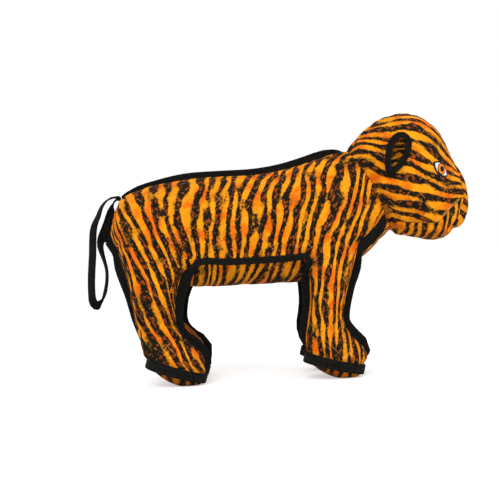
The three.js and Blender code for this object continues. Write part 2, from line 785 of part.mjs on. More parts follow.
function loopSolid() {
  const places = loopShares.map(([behind, below, side, heading, slope]) => ({
    at: rootAt.clone().add(new THREE.Vector3(-behind * loopReach, side * loopReach, -below * loopDrop)),
    out: new THREE.Vector3(1, 0, 0)
      .applyAxisAngle(new THREE.Vector3(0, 1, 0), -THREE.MathUtils.degToRad(slope))
      .applyAxisAngle(new THREE.Vector3(0, 0, 1), THREE.MathUtils.degToRad(heading)),
  }));
  const rings = tapePath(places, loopSteps).map(({ at, out, along }) => {
    const wide = out.clone().addScaledVector(along, -out.dot(along)).setLength(strapWidth / 2);
    const thick = along.clone().cross(wide).setLength(strapThickness / 2);
    return [
      at.clone().add(wide).add(thick),
      at.clone().add(wide).sub(thick),
      at.clone().sub(wide).sub(thick),
      at.clone().sub(wide).add(thick),
    ];
  });
  const strap = solidFrom(skin(rings, middleOf(rings[0]), middleOf(rings.at(-1))));
  const root = new THREE.CylinderGeometry(rootRadius, rootRadius, strapWidth, rootSides);
  return strap.add(solidFrom(root.translate(rootAt.x, rootAt.y, rootAt.z)));
}

// Assembly: the larger pieces cut the smaller ones that are sewn to them

const hindHeelX = hindHeelShare * bodyLength;
const frontHeelX = frontHeelShare * bodyLength;
const hindSole = soleAt(hindHeelX + soleShift.hind, "hind");
const frontSole = soleAt(frontHeelX + soleShift.front, "front");
const hindLeg = legForm(hindHeelX, hindSole, hindLegShares);
const frontLeg = legForm(frontHeelX, frontSole, frontLegShares);
const loop = loopSolid();
const rootCutter = solidFrom(
  new THREE.BoxGeometry(cutOverrun, cutOverrun, cutOverrun).translate(
    rootAt.x + rootRadius + gap - cutOverrun / 2,
    0,
    rootAt.z,
  ),
);
const ear = earSolids();
const rumpCutter = tapeSolid(rumpPath(), grown(tape));
const footCutters = [footTape(hindSole, gap), footTape(frontSole, gap)];
const legCutters = [stuffed(hindLeg, gap), stuffed(frontLeg, gap)];
const bodyCutters = [torsoCutter, ...legCutters, ...footCutters];
const headCutter = stuffed(head, gap);
const cutTape = (path, cutters, size = tape) => cutBy(tapeSolid(path, size), cutters);
const spineSolid = cutTape(spinePath(), [torsoCutter, headCutter, rootCutter], {
  ...spineTape,
  tuckStart: true,
});
const rumpSolid = cutTape(rumpPath(), [torsoCutter, ...legCutters], { ...tape, tuckStart: true });
const tuckedTape = { ...tape, tuckStart: true, tuckEnd: true };
const rearSolid = cutTape(hindRearPath(hindLeg), [...bodyCutters, rumpCutter], { ...tape, tuckEnd: true });
const bellySolid = cutTape(archPath(hindLeg, frontLeg), bodyCutters, tuckedTape);
const chestSolid = cutTape(chestPath(frontLeg), [...bodyCutters, headCutter], tuckedTape);

const tiger = new THREE.Group();
tiger.name = "plush_tiger";
const add = (...meshes) => tiger.add(...meshes);
const addPair = (name, solid, material) => {
  const both = pair(name, solid, material);
  add(both.right, both.left);
};

add(pieceMesh("torso", torsoSolid, plush));
add(pieceMesh("head", headSolid, plush));
add(pieceMesh("chin", jawSolid, plush));
addPair("front_leg", cutBy(stuffed(frontLeg), [torsoCutter, ...footCutters]), plush);
addPair("hind_leg", cutBy(stuffed(hindLeg), [torsoCutter, ...footCutters]), plush);
addPair("front_sole", soleSolid(frontSole), plush);
addPair("hind_sole", soleSolid(hindSole), plush);
addPair("front_foot_binding", footTape(frontSole), black);
addPair("hind_foot_binding", footTape(hindSole), black);
add(pieceMesh("spine_binding", spineSolid, black));
add(pieceMesh("rump_binding", rumpSolid, black));
addPair("rear_binding", rearSolid, black);
addPair("belly_binding", bellySolid, black);
addPair("chest_binding", chestSolid, black);
addPair("ear", cutBy(ear.dish, [headCutter]), plush);
addPair("ear_binding", cutBy(ear.rim, [headCutter]), black);
addPair("eye", eyeSolid, white);
addPair("iris", irisSolid, amber);
add(pieceMesh("tail_loop", loop, black));

// The middle of the standing toy's box is the origin.
const box = new THREE.Box3().setFromObject(tiger);
const middle = box.getCenter(new THREE.Vector3());
tiger.children.forEach((mesh) => mesh.geometry.translate(-middle.x, -middle.y, -box.min.z));

export default tiger;
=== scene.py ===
import json
import math

import bpy
import numpy as np
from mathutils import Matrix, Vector
from mathutils.bvhtree import BVHTree
from mathutils.kdtree import KDTree

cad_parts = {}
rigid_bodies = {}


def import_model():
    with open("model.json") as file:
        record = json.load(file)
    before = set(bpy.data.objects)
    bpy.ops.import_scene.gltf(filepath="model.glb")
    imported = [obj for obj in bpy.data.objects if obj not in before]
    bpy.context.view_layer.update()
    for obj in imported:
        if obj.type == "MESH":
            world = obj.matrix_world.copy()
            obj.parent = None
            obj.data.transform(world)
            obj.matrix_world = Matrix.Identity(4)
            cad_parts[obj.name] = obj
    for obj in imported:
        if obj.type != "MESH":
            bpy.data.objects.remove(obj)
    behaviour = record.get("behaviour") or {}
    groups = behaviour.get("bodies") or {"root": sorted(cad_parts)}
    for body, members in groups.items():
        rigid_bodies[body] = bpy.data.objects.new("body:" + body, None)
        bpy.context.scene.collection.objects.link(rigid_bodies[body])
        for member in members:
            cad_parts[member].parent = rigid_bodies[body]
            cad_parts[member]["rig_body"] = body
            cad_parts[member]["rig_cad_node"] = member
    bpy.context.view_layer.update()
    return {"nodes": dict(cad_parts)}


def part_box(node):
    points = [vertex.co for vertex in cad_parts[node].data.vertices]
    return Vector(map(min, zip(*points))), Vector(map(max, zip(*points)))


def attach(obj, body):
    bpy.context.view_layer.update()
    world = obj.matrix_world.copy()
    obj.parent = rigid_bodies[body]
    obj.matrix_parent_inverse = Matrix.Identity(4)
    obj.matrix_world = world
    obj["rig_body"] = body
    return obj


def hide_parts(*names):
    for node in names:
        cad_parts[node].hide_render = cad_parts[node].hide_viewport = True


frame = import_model()
nodes = frame["nodes"]
mm = 0.001
print("frame loaded:", len(nodes), "CAD nodes")


# Camera

camera = {
    "place": (-0.0305, -1.150, 0.1358),
    "tilt": 2.9,  # degrees, the toy leans nose-up in the picture
    "lens": 77.4,
    "farthest": 20.0,
}

bpy.ops.object.camera_add(location=camera["place"],
                          rotation=(math.radians(90), math.radians(camera["tilt"]), 0))
bpy.context.scene.camera = bpy.context.object
bpy.context.object.data.lens = camera["lens"]
bpy.context.object.data.clip_end = camera["farthest"]
print("camera set")


# Working habits: picking, copying, shaping

def pickNone():
    bpy.ops.object.select_all(action="DESELECT")


def pickOnly(piece):
    pickNone()
    piece.select_set(True)
    bpy.context.view_layer.objects.active = piece


def finishWith(piece, kind, **settings):
    pickOnly(piece)
    modifier = piece.modifiers.new(kind.title(), kind)
    for key, value in settings.items():
        setattr(modifier, key, value)
    bpy.ops.object.modifier_apply(modifier=modifier.name)


def mergeDoubles(piece, distance):
    pickOnly(piece)
    bpy.ops.object.mode_set(mode="EDIT")
    bpy.ops.mesh.select_all(action="SELECT")
    bpy.ops.mesh.remove_doubles(threshold=distance)
    bpy.ops.object.mode_set(mode="OBJECT")


def twinOf(piece):
    pickOnly(piece)
    bpy.ops.object.duplicate()
    return bpy.context.object


def copyOfNodes(names, title):
    # the solids as one mesh of their own, with their loose triangles joined up
    pickNone()
    for name in names:
        nodes[name].select_set(True)
    bpy.context.view_layer.objects.active = nodes[names[0]]
    bpy.ops.object.duplicate()
    if len(names) > 1:
        bpy.ops.object.join()
    piece = bpy.context.object
    piece.parent = None
    piece.name = title
    piece.data.name = title
    piece.data.materials.clear()
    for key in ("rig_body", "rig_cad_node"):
        if key in piece:
            del piece[key]
    mergeDoubles(piece, 0.00001)
    return piece


def dress(piece, material, sharpFrom=None):
    # smooth shading, except over edges sharper than the given degrees, and the material
    pickOnly(piece)
    if sharpFrom is None:
        bpy.ops.object.shade_smooth()
    else:
        bpy.ops.object.shade_smooth_by_angle(angle=math.radians(sharpFrom))
    piece.data.materials.append(material)


def readVectors(items, what):
    values = np.zeros(len(items) * 3, np.float32)
    items.foreach_get(what, values)
    return values.reshape(-1, 3).astype(float)


def readIndexes(items, what):
    values = np.zeros(len(items), int)
    items.foreach_get(what, values)
    return values


def readPoints(piece):
    return readVectors(piece.data.vertices, "co")


def readNormals(piece):
    return readVectors(piece.data.vertex_normals, "vector")


def readBoth(piece):
    return readPoints(piece), readNormals(piece)


def writePoints(piece, points):
    piece.data.vertices.foreach_set("co", points.astype(np.float32).ravel())
    piece.data.update()


def writeMap(piece, title, values):
    layer = piece.data.uv_layers.new(name=title)
    layer.data.foreach_set("uv", values.astype(np.float32).ravel())


def softForm(piece, voxel, rounds):
    finishWith(piece, "REMESH", mode="VOXEL", voxel_size=voxel)
    finishWith(piece, "SMOOTH", factor=0.5, iterations=rounds)


def surfaceOf(names):
    # one search tree over the faces of several pieces
    corners, faces = [], []
    for name in names:
        mesh = bpy.data.objects[name].data
        start = len(corners)
        corners.extend(vertex.co.copy() for vertex in mesh.vertices)
        faces.extend([start + index for index in face.vertices] for face in mesh.polygons)
    return BVHTree.FromPolygons(corners, faces)


def nearness(points, tree):
    return np.array([tree.find_nearest(Vector(point))[3] for point in points])


def broadNormals(points, source, count=8):
    # which way the form faces broadly, without its creases
    tree = KDTree(len(source[0]))
    for index, point in enumerate(source[0]):
        tree.insert(point, index)
    tree.balance()
    near = np.array([[found[1] for found in tree.find_n(point, count)] for point in points])
    mean = source[1][near].mean(axis=1)
    return mean / np.maximum(np.linalg.norm(mean, axis=1), 1e-9)[:, None]


def easeIn(value, low, high):
    share = np.clip((value - low) / (high - low), 0, 1)
    return share * share * (3 - 2 * share)


stuffing = {
    "pressure": 4.0,
    "bending": 4.0,
    "quality": 5,
    "steps": 20,
    "sewn": (0.004, 0.012),  # how far from a seam the cloth is held, and from where it is free
    "most": 0.004,  # no point moves further than this
    "quickly": (0.004, 0.016, 0.5),  # the same without a simulation, and its share of the most
}


def fillOut(piece, held):
    # cloth swells under pressure, held where it is sewn, and each point stays within its reach
    before, normalsBefore = readBoth(piece)
    group = piece.vertex_groups.new(name="sewn")
    for index, weight in enumerate(1 - easeIn(held, *stuffing["sewn"])):
        if weight > 0:
            group.add([index], float(weight), "REPLACE")
    pickOnly(piece)
    cloth = piece.modifiers.new("Cloth", "CLOTH")
    cloth.settings.use_pressure = True
    cloth.settings.uniform_pressure_force = stuffing["pressure"]
    cloth.settings.effector_weights.gravity = 0
    cloth.settings.vertex_group_mass = group.name
    cloth.settings.bending_stiffness = stuffing["bending"]
    cloth.settings.quality = stuffing["quality"]
    for step in range(1, stuffing["steps"] + 1):
        bpy.context.scene.frame_set(step)
    bpy.ops.object.modifier_apply(modifier=cloth.name)
    bpy.context.scene.frame_set(1)
    piece.vertex_groups.clear()
    moved = readPoints(piece) - before
    outward = (moved * normalsBefore).sum(axis=1) * 1000
    print("stuffing moved the cloth out by", np.round(np.percentile(outward, (5, 25, 50, 75, 95)), 2), "mm")
    length = np.linalg.norm(moved, axis=1)
    limit = np.minimum(1, stuffing["most"] / np.maximum(length, 1e-9))
    writePoints(piece, before + moved * limit[:, None])


# Lines: where a point lies along a seam, and how far to its side

def nearestLeg(points, line):
    # for each point the leg of the line that lies nearest, how far along it, and how far away
    best, which, where = np.full(len(points), 1e9), np.zeros(len(points), int), np.zeros(len(points))
    for index, start in enumerate(line[:-1]):
        leg = line[index + 1] - start
        share = np.clip((points - start) @ leg / (leg @ leg), 0, 1)
        away = np.linalg.norm(points - start - share[:, None] * leg, axis=1)
        closer = away < best
        best[closer], which[closer], where[closer] = away[closer], index, share[closer]
    return which, where, best


def alongLine(points, line):
    lengths = np.linalg.norm(line[1:] - line[:-1], axis=1)
    starts = np.concatenate([[0], np.cumsum(lengths)])
    which, where, away = nearestLeg(points, line)
    return starts[which] + where * lengths[which], away


def runOn(leg):
    # how far a drawn line goes on past its end, well out of the toy
    return leg * 20 / max(np.linalg.norm(leg) / 0.01, 1)


def sideOfLine(flat, line):
    # signed distance from a line drawn on the side view: positive on its left
    line = np.array(line, float) * mm
    line = np.vstack([line[0] + runOn(line[0] - line[1]), line, line[-1] + runOn(line[-1] - line[-2])])
    which, _, away = nearestLeg(flat, line)
    leg, offset = (line[1:] - line[:-1])[which], flat - line[which]
    return away * np.sign(leg[:, 0] * offset[:, 1] - leg[:, 1] * offset[:, 0])


def tableValue(across, up, table, x, z):
    # a smooth value between the listed ones of a small table
    across, up = np.array(across, float) * mm, np.array(up, float) * mm
    table = np.array(table, float)
    i = np.clip(np.searchsorted(across, x) - 1, 0, len(across) - 2)
    j = np.clip(np.searchsorted(up, z) - 1, 0, len(up) - 2)
    s = np.clip((x - across[i]) / (across[i + 1] - across[i]), 0, 1)
    t = np.clip((z - up[j]) / (up[j + 1] - up[j]), 0, 1)
    low = table[j, i] * (1 - s) + table[j, i + 1] * s
    high = table[j + 1, i] * (1 - s) + table[j + 1, i + 1] * s
    return low * (1 - t) + high * t


# Node trees

def addNode(tree, kind, wires=None, **settings):
    made = tree.nodes.new(kind)
    for key, value in settings.items():
        setattr(made, key, value)
    for key, value in (wires or {}).items():
        if isinstance(value, bpy.types.NodeSocket):
            tree.links.new(value, made.inputs[key])
        else:
            made.inputs[key].default_value = value
    return made


def treeOf(*values):
    # the node tree that the first socket among the values stands in
    return next(value.id_data for value in values if isinstance(value, bpy.types.NodeSocket))


def maths(operation, *values):
    made = addNode(treeOf(*values), "ShaderNodeMath", dict(enumerate(values)), operation=operation)
    return made.outputs[0]


def times(first, second):
    return maths("MULTIPLY", first, second)


def plus(first, second):
    return maths("ADD", first, second)


def less(first, second):
    return maths("SUBTRACT", first, second)


def vectorMaths(operation, first, second):
    made = addNode(first.id_data, "ShaderNodeVectorMath", {0: first, 1: second}, operation=operation)
    return made.outputs[0]


def scaled(vector, sizes):
    return vectorMaths("MULTIPLY", vector, sizes)


def ramped(value, low, high, toLow=0.0, toHigh=1.0):
    wires = {"Value": value, "From Min": low, "From Max": high, "To Min": toLow, "To Max": toHigh}
    made = addNode(value.id_data, "ShaderNodeMapRange", wires, interpolation_type="SMOOTHSTEP")
    return made.outputs["Result"]


def grainOf(vector, scale, detail=2.0, rough=0.5):
    wires = {"Vector": vector, "Scale": scale, "Detail": detail, "Roughness": rough}
    return addNode(vector.id_data, "ShaderNodeTexNoise", wires).outputs["Fac"]


def splitUp(vector):
    return addNode(vector.id_data, "ShaderNodeSeparateXYZ", {0: vector}).outputs


def attributeOf(tree, title):
    return addNode(tree, "ShaderNodeAttribute", attribute_name=title).outputs["Fac"]


def mapOf(tree, title):
    return addNode(tree, "ShaderNodeUVMap", uv_map=title).outputs[0]


def blended(share, first, second, mode="MIX"):
    made = addNode(treeOf(share, first), "ShaderNodeMix", {0: share, 6: first, 7: second}, data_type="RGBA",
                   blend_type=mode)
    return made.outputs[2]


def newGroup(title, takes, gives):
    group = bpy.data.node_groups.new(title, "ShaderNodeTree")
    for way, names in (("INPUT", takes), ("OUTPUT", gives)):
        for name in names:
            kind = "Vector" if name in ("Cloth", "Place", "Strip") else "Float"
            group.interface.new_socket(name, in_out=way, socket_type="NodeSocket" + kind)
    return group, group.nodes.new("NodeGroupInput").outputs, group.nodes.new("NodeGroupOutput").inputs


def handOn(gives, **values):
    for name, value in values.items():
        value.id_data.links.new(value, gives[name])


def placed(tree, group, wires):
    return addNode(tree, "ShaderNodeGroup", wires, node_tree=group).outputs


stripeLook = {
    "pitch": 1.1,  # centimetres of cloth from stripe to stripe, where they are even
    "evenness": (0.14, 0.26),  # how strongly that pitch shows where the print is wild, and where it is tidy
    "bandSize": 1.7,  # this size and the next ones are counts to the centimetre
    "bandContrast": 0.95,
    "tuftSize": 4.2,
    "tuftReach": 0.34,  # how ragged the edges of a stripe are
    "spotSize": 2.7,
    "patchSize": 0.85,
    "black": (0.452, 0.57),  # from here on these are the levels between which each tone comes in
    "edge": (0.37, 0.49),
    "inside": (0.575, 0.69),
    "spots": (0.505, 0.63),
    "patches": (0.45, 0.66),
}


def tigerPrint():
    # the printed stripes, in centimetres of cloth: X runs across the stripes and Y along them
    group, takes, gives = newGroup("tigerPrint", ("Cloth", "Wider"), ("Stripe", "Mottle", "Patch", "Edge"))
    flat = takes["Cloth"]
    drift = grainOf(scaled(flat, (0.42, 0.2, 1)), 1.0, 1.0).node.outputs["Color"]
    drift = scaled(vectorMaths("SUBTRACT", drift, (0.5, 0.5, 0.5)), (1.7, 2.6, 0))
    cloth = vectorMaths("ADD", flat, drift)
    band = grainOf(scaled(cloth, (1.0, 0.3, 1)), stripeLook["bandSize"], 1.3, 0.4)
    band = plus(times(less(band, 0.5), stripeLook["bandContrast"]), 0.5)
    beat = maths("SINE", times(splitUp(cloth)["X"], 2 * math.pi / stripeLook["pitch"]))
    slow = grainOf(scaled(cloth, (0.5, 0.22, 1)), 1.3, 0.0)
    band = plus(band, times(beat, ramped(slow, 0.3, 0.7, *stripeLook["evenness"])))
    tufts = grainOf(scaled(flat, (1.0, 0.8, 1)), stripeLook["tuftSize"], 1.2, 0.5)
    tufts = times(less(tufts, 0.5), stripeLook["tuftReach"])
    band = plus(plus(band, tufts), takes["Wider"])
    spots = grainOf(scaled(flat, (1, 0.7, 1)), stripeLook["spotSize"], 2.0, 0.6)
    spots = times(ramped(band, *stripeLook["inside"]), ramped(spots, *stripeLook["spots"]))
    patches = grainOf(scaled(flat, (0.62, 0.5, 1)), stripeLook["patchSize"], 2.0, 0.5)
    handOn(gives, Stripe=ramped(band, *stripeLook["black"]), Edge=ramped(band, *stripeLook["edge"]),
           Patch=ramped(patches, *stripeLook["patches"]), Mottle=spots)
    return group


pileGrain = {"fibres": 1300, "clumps": 330, "nap": 42}  # counts to the metre


def shortPile():
    # the nap of the plush: fine fibres and the tone that they take where they lean
    group, takes, gives = newGroup("shortPile", ("Place",), ("Height", "Tone"))
    fibres = grainOf(takes["Place"], pileGrain["fibres"], 2.0, 0.6)
    clumps = grainOf(takes["Place"], pileGrain["clumps"], 2.0, 0.55)
    nap = grainOf(takes["Place"], pileGrain["nap"], 2.0, 0.5)
    tone = plus(times(clumps, 0.5), times(nap, 0.5))
    handOn(gives, Height=plus(times(fibres, 0.45), times(clumps, 0.75)), Tone=ramped(tone, 0.36, 0.64))
    return group


def dashed(run, length, rise, fall):
    # stitches along a row: the share of each length that is thread
    dash = maths("FRACT", maths("DIVIDE", run, length))
    return times(ramped(dash, 0.0, rise), ramped(dash, *fall))


def quiltLines():
    # rows of stitches crossing in diamonds, in centimetres of cloth
    group, takes, gives = newGroup("quiltLines", ("Cloth", "Spacing", "Angle"), ("Thread", "Pull"))
    split = splitUp(takes["Cloth"])
    cosine, sine = maths("COSINE", takes["Angle"]), maths("SINE", takes["Angle"])
    seen = ramped(grainOf(takes["Cloth"], 0.9, 2.0), 0.46, 0.56)
    threads, pulls = [], []
    for way in (1.0, -1.0):
        side = plus(times(split["X"], sine), times(times(split["Y"], cosine), way))
        run = less(times(split["X"], cosine), times(times(split["Y"], sine), way))
        share = maths("FRACT", maths("DIVIDE", side, takes["Spacing"]))
        fromMiddle = maths("ABSOLUTE", less(share, 0.5))
        away = times(less(0.5, fromMiddle), takes["Spacing"])
        stitch = times(dashed(run, 0.30, 0.08, (0.8, 0.7)), ramped(away, 0.05, 0.02))
        threads.append(times(stitch, seen))
        pulls.append(ramped(away, 0.0, 0.5))
    handOn(gives, Thread=maths("MAXIMUM", *threads), Pull=maths("MINIMUM", *pulls))
    return group


def sewnLine():
    # a plain seam: a crease with the cloth drawn in beside it, and a mask for the shade painted into the
    # crease. Offset is in millimetres from the seam
    group, takes, gives = newGroup("sewnLine", ("Offset", "Shown"), ("Crease", "Height"))
    away = maths("ABSOLUTE", takes["Offset"])
    drawnIn = times(ramped(away, 1.6, 0.0), takes["Shown"])
    handOn(gives, Crease=times(ramped(away, 0.75, 0.15), takes["Shown"]), Height=less(1.0, drawnIn))
    return group


def wovenRibs():
    # the ribs of a narrow woven tape, in millimetres: X runs along it and Y across
    group, takes, gives = newGroup("wovenRibs", ("Strip", "Rib", "Row"), ("Height", "Stitch", "Tone"))
    strip = takes["Strip"]
    split = splitUp(strip)
    rib = maths("DIVIDE", times(split["X"], 2 * math.pi), takes["Rib"])
    yarn = maths("DIVIDE", times(split["Y"], 2 * math.pi), times(takes["Rib"], 1.15))
    weave = times(maths("SINE", rib), maths("SINE", yarn))
    fluff = grainOf(strip, 1.4, 3.0, 0.6)
    height = plus(times(weave, 0.22), times(fluff, 0.9))
    fromRow = maths("ABSOLUTE", less(split["Y"], takes["Row"]))
    stitch = dashed(split["X"], 3.0, 0.12, (0.86, 0.74))
    tone = ramped(grainOf(strip, 0.35, 3.0, 0.6), 0.35, 0.68)
    handOn(gives, Height=plus(height, times(ramped(fromRow, 0.3, 1.3), 0.3)), Tone=tone,
           Stitch=times(stitch, ramped(fromRow, 0.5, 0.22)))
    return group


printGroup = tigerPrint()
pileGroup = shortPile()
quiltGroup = quiltLines()
seamGroup = sewnLine()
ribGroup = wovenRibs()
print("shared effects built")


# Materials

plushLook = {
    "yellow": (0.83, 0.285, 0.006, 1),
    "orange": (0.76, 0.125, 0.003, 1),
    "black": (0.0085, 0.0078, 0.005, 1),
    "edge": (0.17, 0.088, 0.01, 1),
    "mottle": (0.27, 0.055, 0.006, 1),
    "thread": (0.8, 0.3, 0.05, 1),
    # a painted highlight along the turned edge of the cheek
    "lip": (0.8, 0.36, 0.05, 1),
    # painted shade in the crease of a seam
    "seam": (0.06, 0.016, 0.003, 1),
    "sheen": (1.0, 0.75, 0.5, 1),
    "quiltSpacing": 2.9,  # centimetres
    "quiltReach": 0.35,
    "quiltAngle": 47.0,  # degrees
}


def newMaterial(title, roughness, sheen=0.0, sheenTint=(1, 1, 1, 1)):
    material = bpy.data.materials.new(title)
    material.use_nodes = True
    shader = material.node_tree.nodes["Principled BSDF"]
    for socket, value in (("Roughness", roughness), ("Specular IOR Level", 0.05), ("Sheen Weight", sheen),
                          ("Sheen Roughness", 0.55), ("Sheen Tint", sheenTint)):
        shader.inputs[socket].default_value = value
    return material, material.node_tree, shader


def raiseBy(tree, shader, height, distance, strength):
    bump = addNode(tree, "ShaderNodeBump", {"Height": height, "Distance": distance, "Strength": strength})
    tree.links.new(bump.outputs["Normal"], shader.inputs["Normal"])


def plushMaterial(title, wider=0.0, paintedShade=1.0, quilted=True, seamed=False):
    material, tree, shader = newMaterial(title, 0.94, 0.02, plushLook["sheen"])
    if seamed:
        wider = attributeOf(tree, "denser")
    printed = placed(tree, printGroup, {"Cloth": mapOf(tree, "print"), "Wider": wider})
    pile = placed(tree, pileGroup, {"Place": addNode(tree, "ShaderNodeTexCoord").outputs["Object"]})
    ground = blended(printed["Patch"], plushLook["yellow"], plushLook["orange"])
    ground = blended(times(printed["Edge"], 0.62), ground, plushLook["edge"])
    ink = blended(printed["Mottle"], plushLook["black"], plushLook["mottle"])
    colour = blended(printed["Stripe"], ground, ink)
    # the pile's own tone, scaled down by the painted shade of pieces that lie in shade
    tone = ramped(pile["Tone"], 0.0, 1.0, 0.8 * paintedShade, 1.04 * paintedShade)
    dull = addNode(tree, "ShaderNodeCombineColor", {0: tone, 1: tone, 2: tone}).outputs[0]
    colour = blended(1.0, colour, dull, "MULTIPLY")
    height = times(pile["Height"], 0.5)
    if quilted:
        wires = {"Cloth": mapOf(tree, "quilt"), "Spacing": plushLook["quiltSpacing"],
                 "Angle": math.radians(plushLook["quiltAngle"])}
        quilt = placed(tree, quiltGroup, wires)
        colour = blended(times(quilt["Thread"], 0.5), colour, plushLook["thread"])
        height = plus(height, times(quilt["Pull"], 0.8))
    if seamed:
        for name in ("neckSeam", "jawSeam", "stripSeam"):
            seam = placed(tree, seamGroup, {"Offset": attributeOf(tree, name),
                                            "Shown": attributeOf(tree, name + "Shown")})
            # each seam's crease darkened with painted shade
            colour = blended(times(seam["Crease"], 0.55), colour, plushLook["seam"])
            height = plus(height, times(seam["Height"], 0.6))
        # the painted highlight along the fold of the mouth
        colour = blended(times(attributeOf(tree, "lip"), 0.8), colour, plushLook["lip"])
    tree.links.new(colour, shader.inputs["Base Color"])
    raiseBy(tree, shader, height, 0.0008, 0.8)
    return material


tapeLook = {
    "dark": (0.004, 0.0039, 0.0035, 1),
    "light": (0.0085, 0.008, 0.0072, 1),
    "stitch": (0.022, 0.021, 0.019, 1),
    # how far apart the ribs lie, and how far from the seam the row of stitches runs, in millimetres
    "bindingTape": (0.9, 3.4),
    "webbing": (1.1, 99.0),  # past its edge, so it shows none
}


def tapeMaterial(title):
    material, tree, shader = newMaterial(title, 0.9, 0.01)
    rib, row = tapeLook[title]
    ribs = placed(tree, ribGroup, {"Strip": mapOf(tree, "strip"), "Rib": rib, "Row": row})
    colour = blended(ribs["Tone"], tapeLook["dark"], tapeLook["light"])
    colour = blended(times(ribs["Stitch"], 0.3), colour, tapeLook["stitch"])
    tree.links.new(colour, shader.inputs["Base Color"])
    raiseBy(tree, shader, ribs["Height"], 0.0005, 0.8)
    return material


bodyPlush = plushMaterial("bodyPlush", seamed=True)
headPlush = plushMaterial("headPlush", seamed=True)
# the soles and the inside of the ears are darkened all over with painted shade
solePlush = plushMaterial("solePlush", wider=0.02, paintedShade=0.6, quilted=False)
earPlush = plushMaterial("earPlush", wider=0.07, paintedShade=0.4, quilted=False)
bindingTape = tapeMaterial("bindingTape")
webbing = tapeMaterial("webbing")
print("materials ready")


# Cover: one sewn skin over body, legs and head, cut apart at the neck seam afterwards

cover = {
    "voxel": 0.004,
    "smoothing": 7,
    "tuck": 0.0018,  # the cloth starts this far inside its filled shape
    "tuckReach": (0.002, 0.014),  # from a seam, where that starts and where it is full
    "snug": 0.0004,  # how far over its form the cloth meets the tape at a bound seam
    "snugReach": (0.003, 0.009),
    "snugForm": (0.005, 0.2),  # for that, how near the form is and how much it faces the same way
    "least": 0.0002,  # the filled cloth stands at least this far over its form
    "leastForm": (0.008, 0.3),
    "seamDepth": 0.0016,
    "seamReach": 0.005,
    "lipDepth": 0.0014,  # the upper side panel lies over the jaw along the fold of the mouth
    "lipReach": 0.009,
    "quiltDepth": 0.0007,
    "broadRounds": 45,  # how often the form is smoothed to find which way it faces broadly
}
# at the instep of a hind leg the inner panel is fuller than the outer one and hides the root of the tape
instep = {
    "line": [(-86.2, 30.6), (-99.7, 42), (-111.2, 55.7), (-113.3, 73.3)],
    "swell": 0.0065,
    "reach": 0.009,  # to the sides of the line
    "height": (0.046, 0.014),  # where it is fullest, and how far up and down it goes
    "along": (-0.13, -0.07),
    "innerSide": (0.012, 0.038),
    "outward": (0.64, 0, 0.77),
}

# lines on the side view, along and up in millimetres
neckLine = [(75.8, 238.8), (79.7, 230.4), (83.7, 222.9), (88.2, 216.4), (96.2, 203.5), (101.8, 191.7),
            (105.4, 181.1), (109.7, 171.5), (115.7, 158.8), (120.2, 147.8)]
jawLine = [(111.2, 159.2), (126.4, 157.2), (152.7, 154.8), (163.2, 154.4), (168.7, 158.2), (175.9, 166.4),
           (183.5, 172.2), (190.2, 176.8)]
# half the width of the muzzle strip by degrees round the head, and between which degrees it runs
stripHalf = [(-60, 21), (-40, 25), (-20, 27), (-5, 25.5), (10, 19), (30, 14.5), (60, 13)]
stripTurns = (-62, 150)

bindingNames = [name for name in nodes if "binding" in name]
seamHolders = [name for name in bindingNames if "ear" not in name]
fullBody = ["torso", "head", "chin", "front_leg_right", "front_leg_left", "hind_leg_right", "hind_leg_left"]

skin = copyOfNodes(fullBody, "bodyCover")
softForm(skin, cover["voxel"], cover["smoothing"])
tapeSurface = surfaceOf(seamHolders)
formSurface = surfaceOf(fullBody)


def metForm(point, normal, reach, alike):
    # the nearest place on the stuffed forms, if it is close and faces much the same way
    place, facing, _, away = formSurface.find_nearest(Vector(point))
    return (place, facing) if away < reach and facing.dot(Vector(normal)) > alike else None


points, normals = readBoth(skin)
atTape = nearness(points, tapeSurface)
flat = points[:, [0, 2]]
jawEnds = easeIn(flat[:, 0], 0.191, 0.199) + (flat[:, 0] < 0.107)
jawAway = np.abs(sideOfLine(flat, jawLine)) + jawEnds * 0.02
held = np.minimum(np.minimum(atTape, np.abs(sideOfLine(flat, neckLine))), jawAway)
snug = (1 - easeIn(atTape, *cover["snugReach"]))[:, None]
meeting = points.copy()
for index in np.flatnonzero(snug[:, 0] > 0):
    met = metForm(points[index], normals[index], *cover["snugForm"])
    if met:
        meeting[index] = met[0] + met[1] * cover["snug"]
filled = points - normals * (easeIn(held, *cover["tuckReach"]) * cover["tuck"])[:, None]
writePoints(skin, filled * (1 - snug) + meeting * snug)
fillOut(skin, held)
finishWith(skin, "SMOOTH", factor=0.5, iterations=2)
points, normals = readBoth(skin)
for index, point in enumerate(points):
    met = metForm(point, normals[index], *cover["leastForm"])
    if met:
        short = cover["least"] - (Vector(point) - met[0]).dot(met[1])
        points[index] += normals[index] * max(short, 0)
writePoints(skin, points)
finishWith(skin, "SMOOTH", factor=0.3, iterations=1)
finishWith(skin, "SUBSURF", levels=1, render_levels=1)
print("cover filled out:", len(skin.data.polygons), "faces")

points = readPoints(skin)
sideways = np.abs(points[:, 1])
inner = easeIn(instep["innerSide"][1] - sideways, 0.0006, 0.005) * (sideways > instep["innerSide"][0])
close = np.exp(-(sideOfLine(points[:, [0, 2]], instep["line"]) / instep["reach"]) ** 2)
level = np.exp(-((points[:, 2] - instep["height"][0]) / instep["height"][1]) ** 2)
level *= (points[:, 0] > instep["along"][0]) * (points[:, 0] < instep["along"][1])
points += (inner * close * level * instep["swell"])[:, None] * np.array(instep["outward"])
writePoints(skin, points)

broadForm = twinOf(skin)
finishWith(broadForm, "SMOOTH", factor=0.8, iterations=cover["broadRounds"])
broad = readBoth(broadForm)
bpy.data.objects.remove(broadForm)

headMiddle = np.array([0.1412, 0.2038])


def headTurn(points):
    # degrees round the side view of the head, 0 straight ahead and 90 at the crown
    return np.degrees(np.arctan2(points[:, 2] - headMiddle[1], points[:, 0] - headMiddle[0]))


def stripEdge(points):
    turns, halves = zip(*stripHalf)
    return np.interp(headTurn(points), turns, halves) * mm


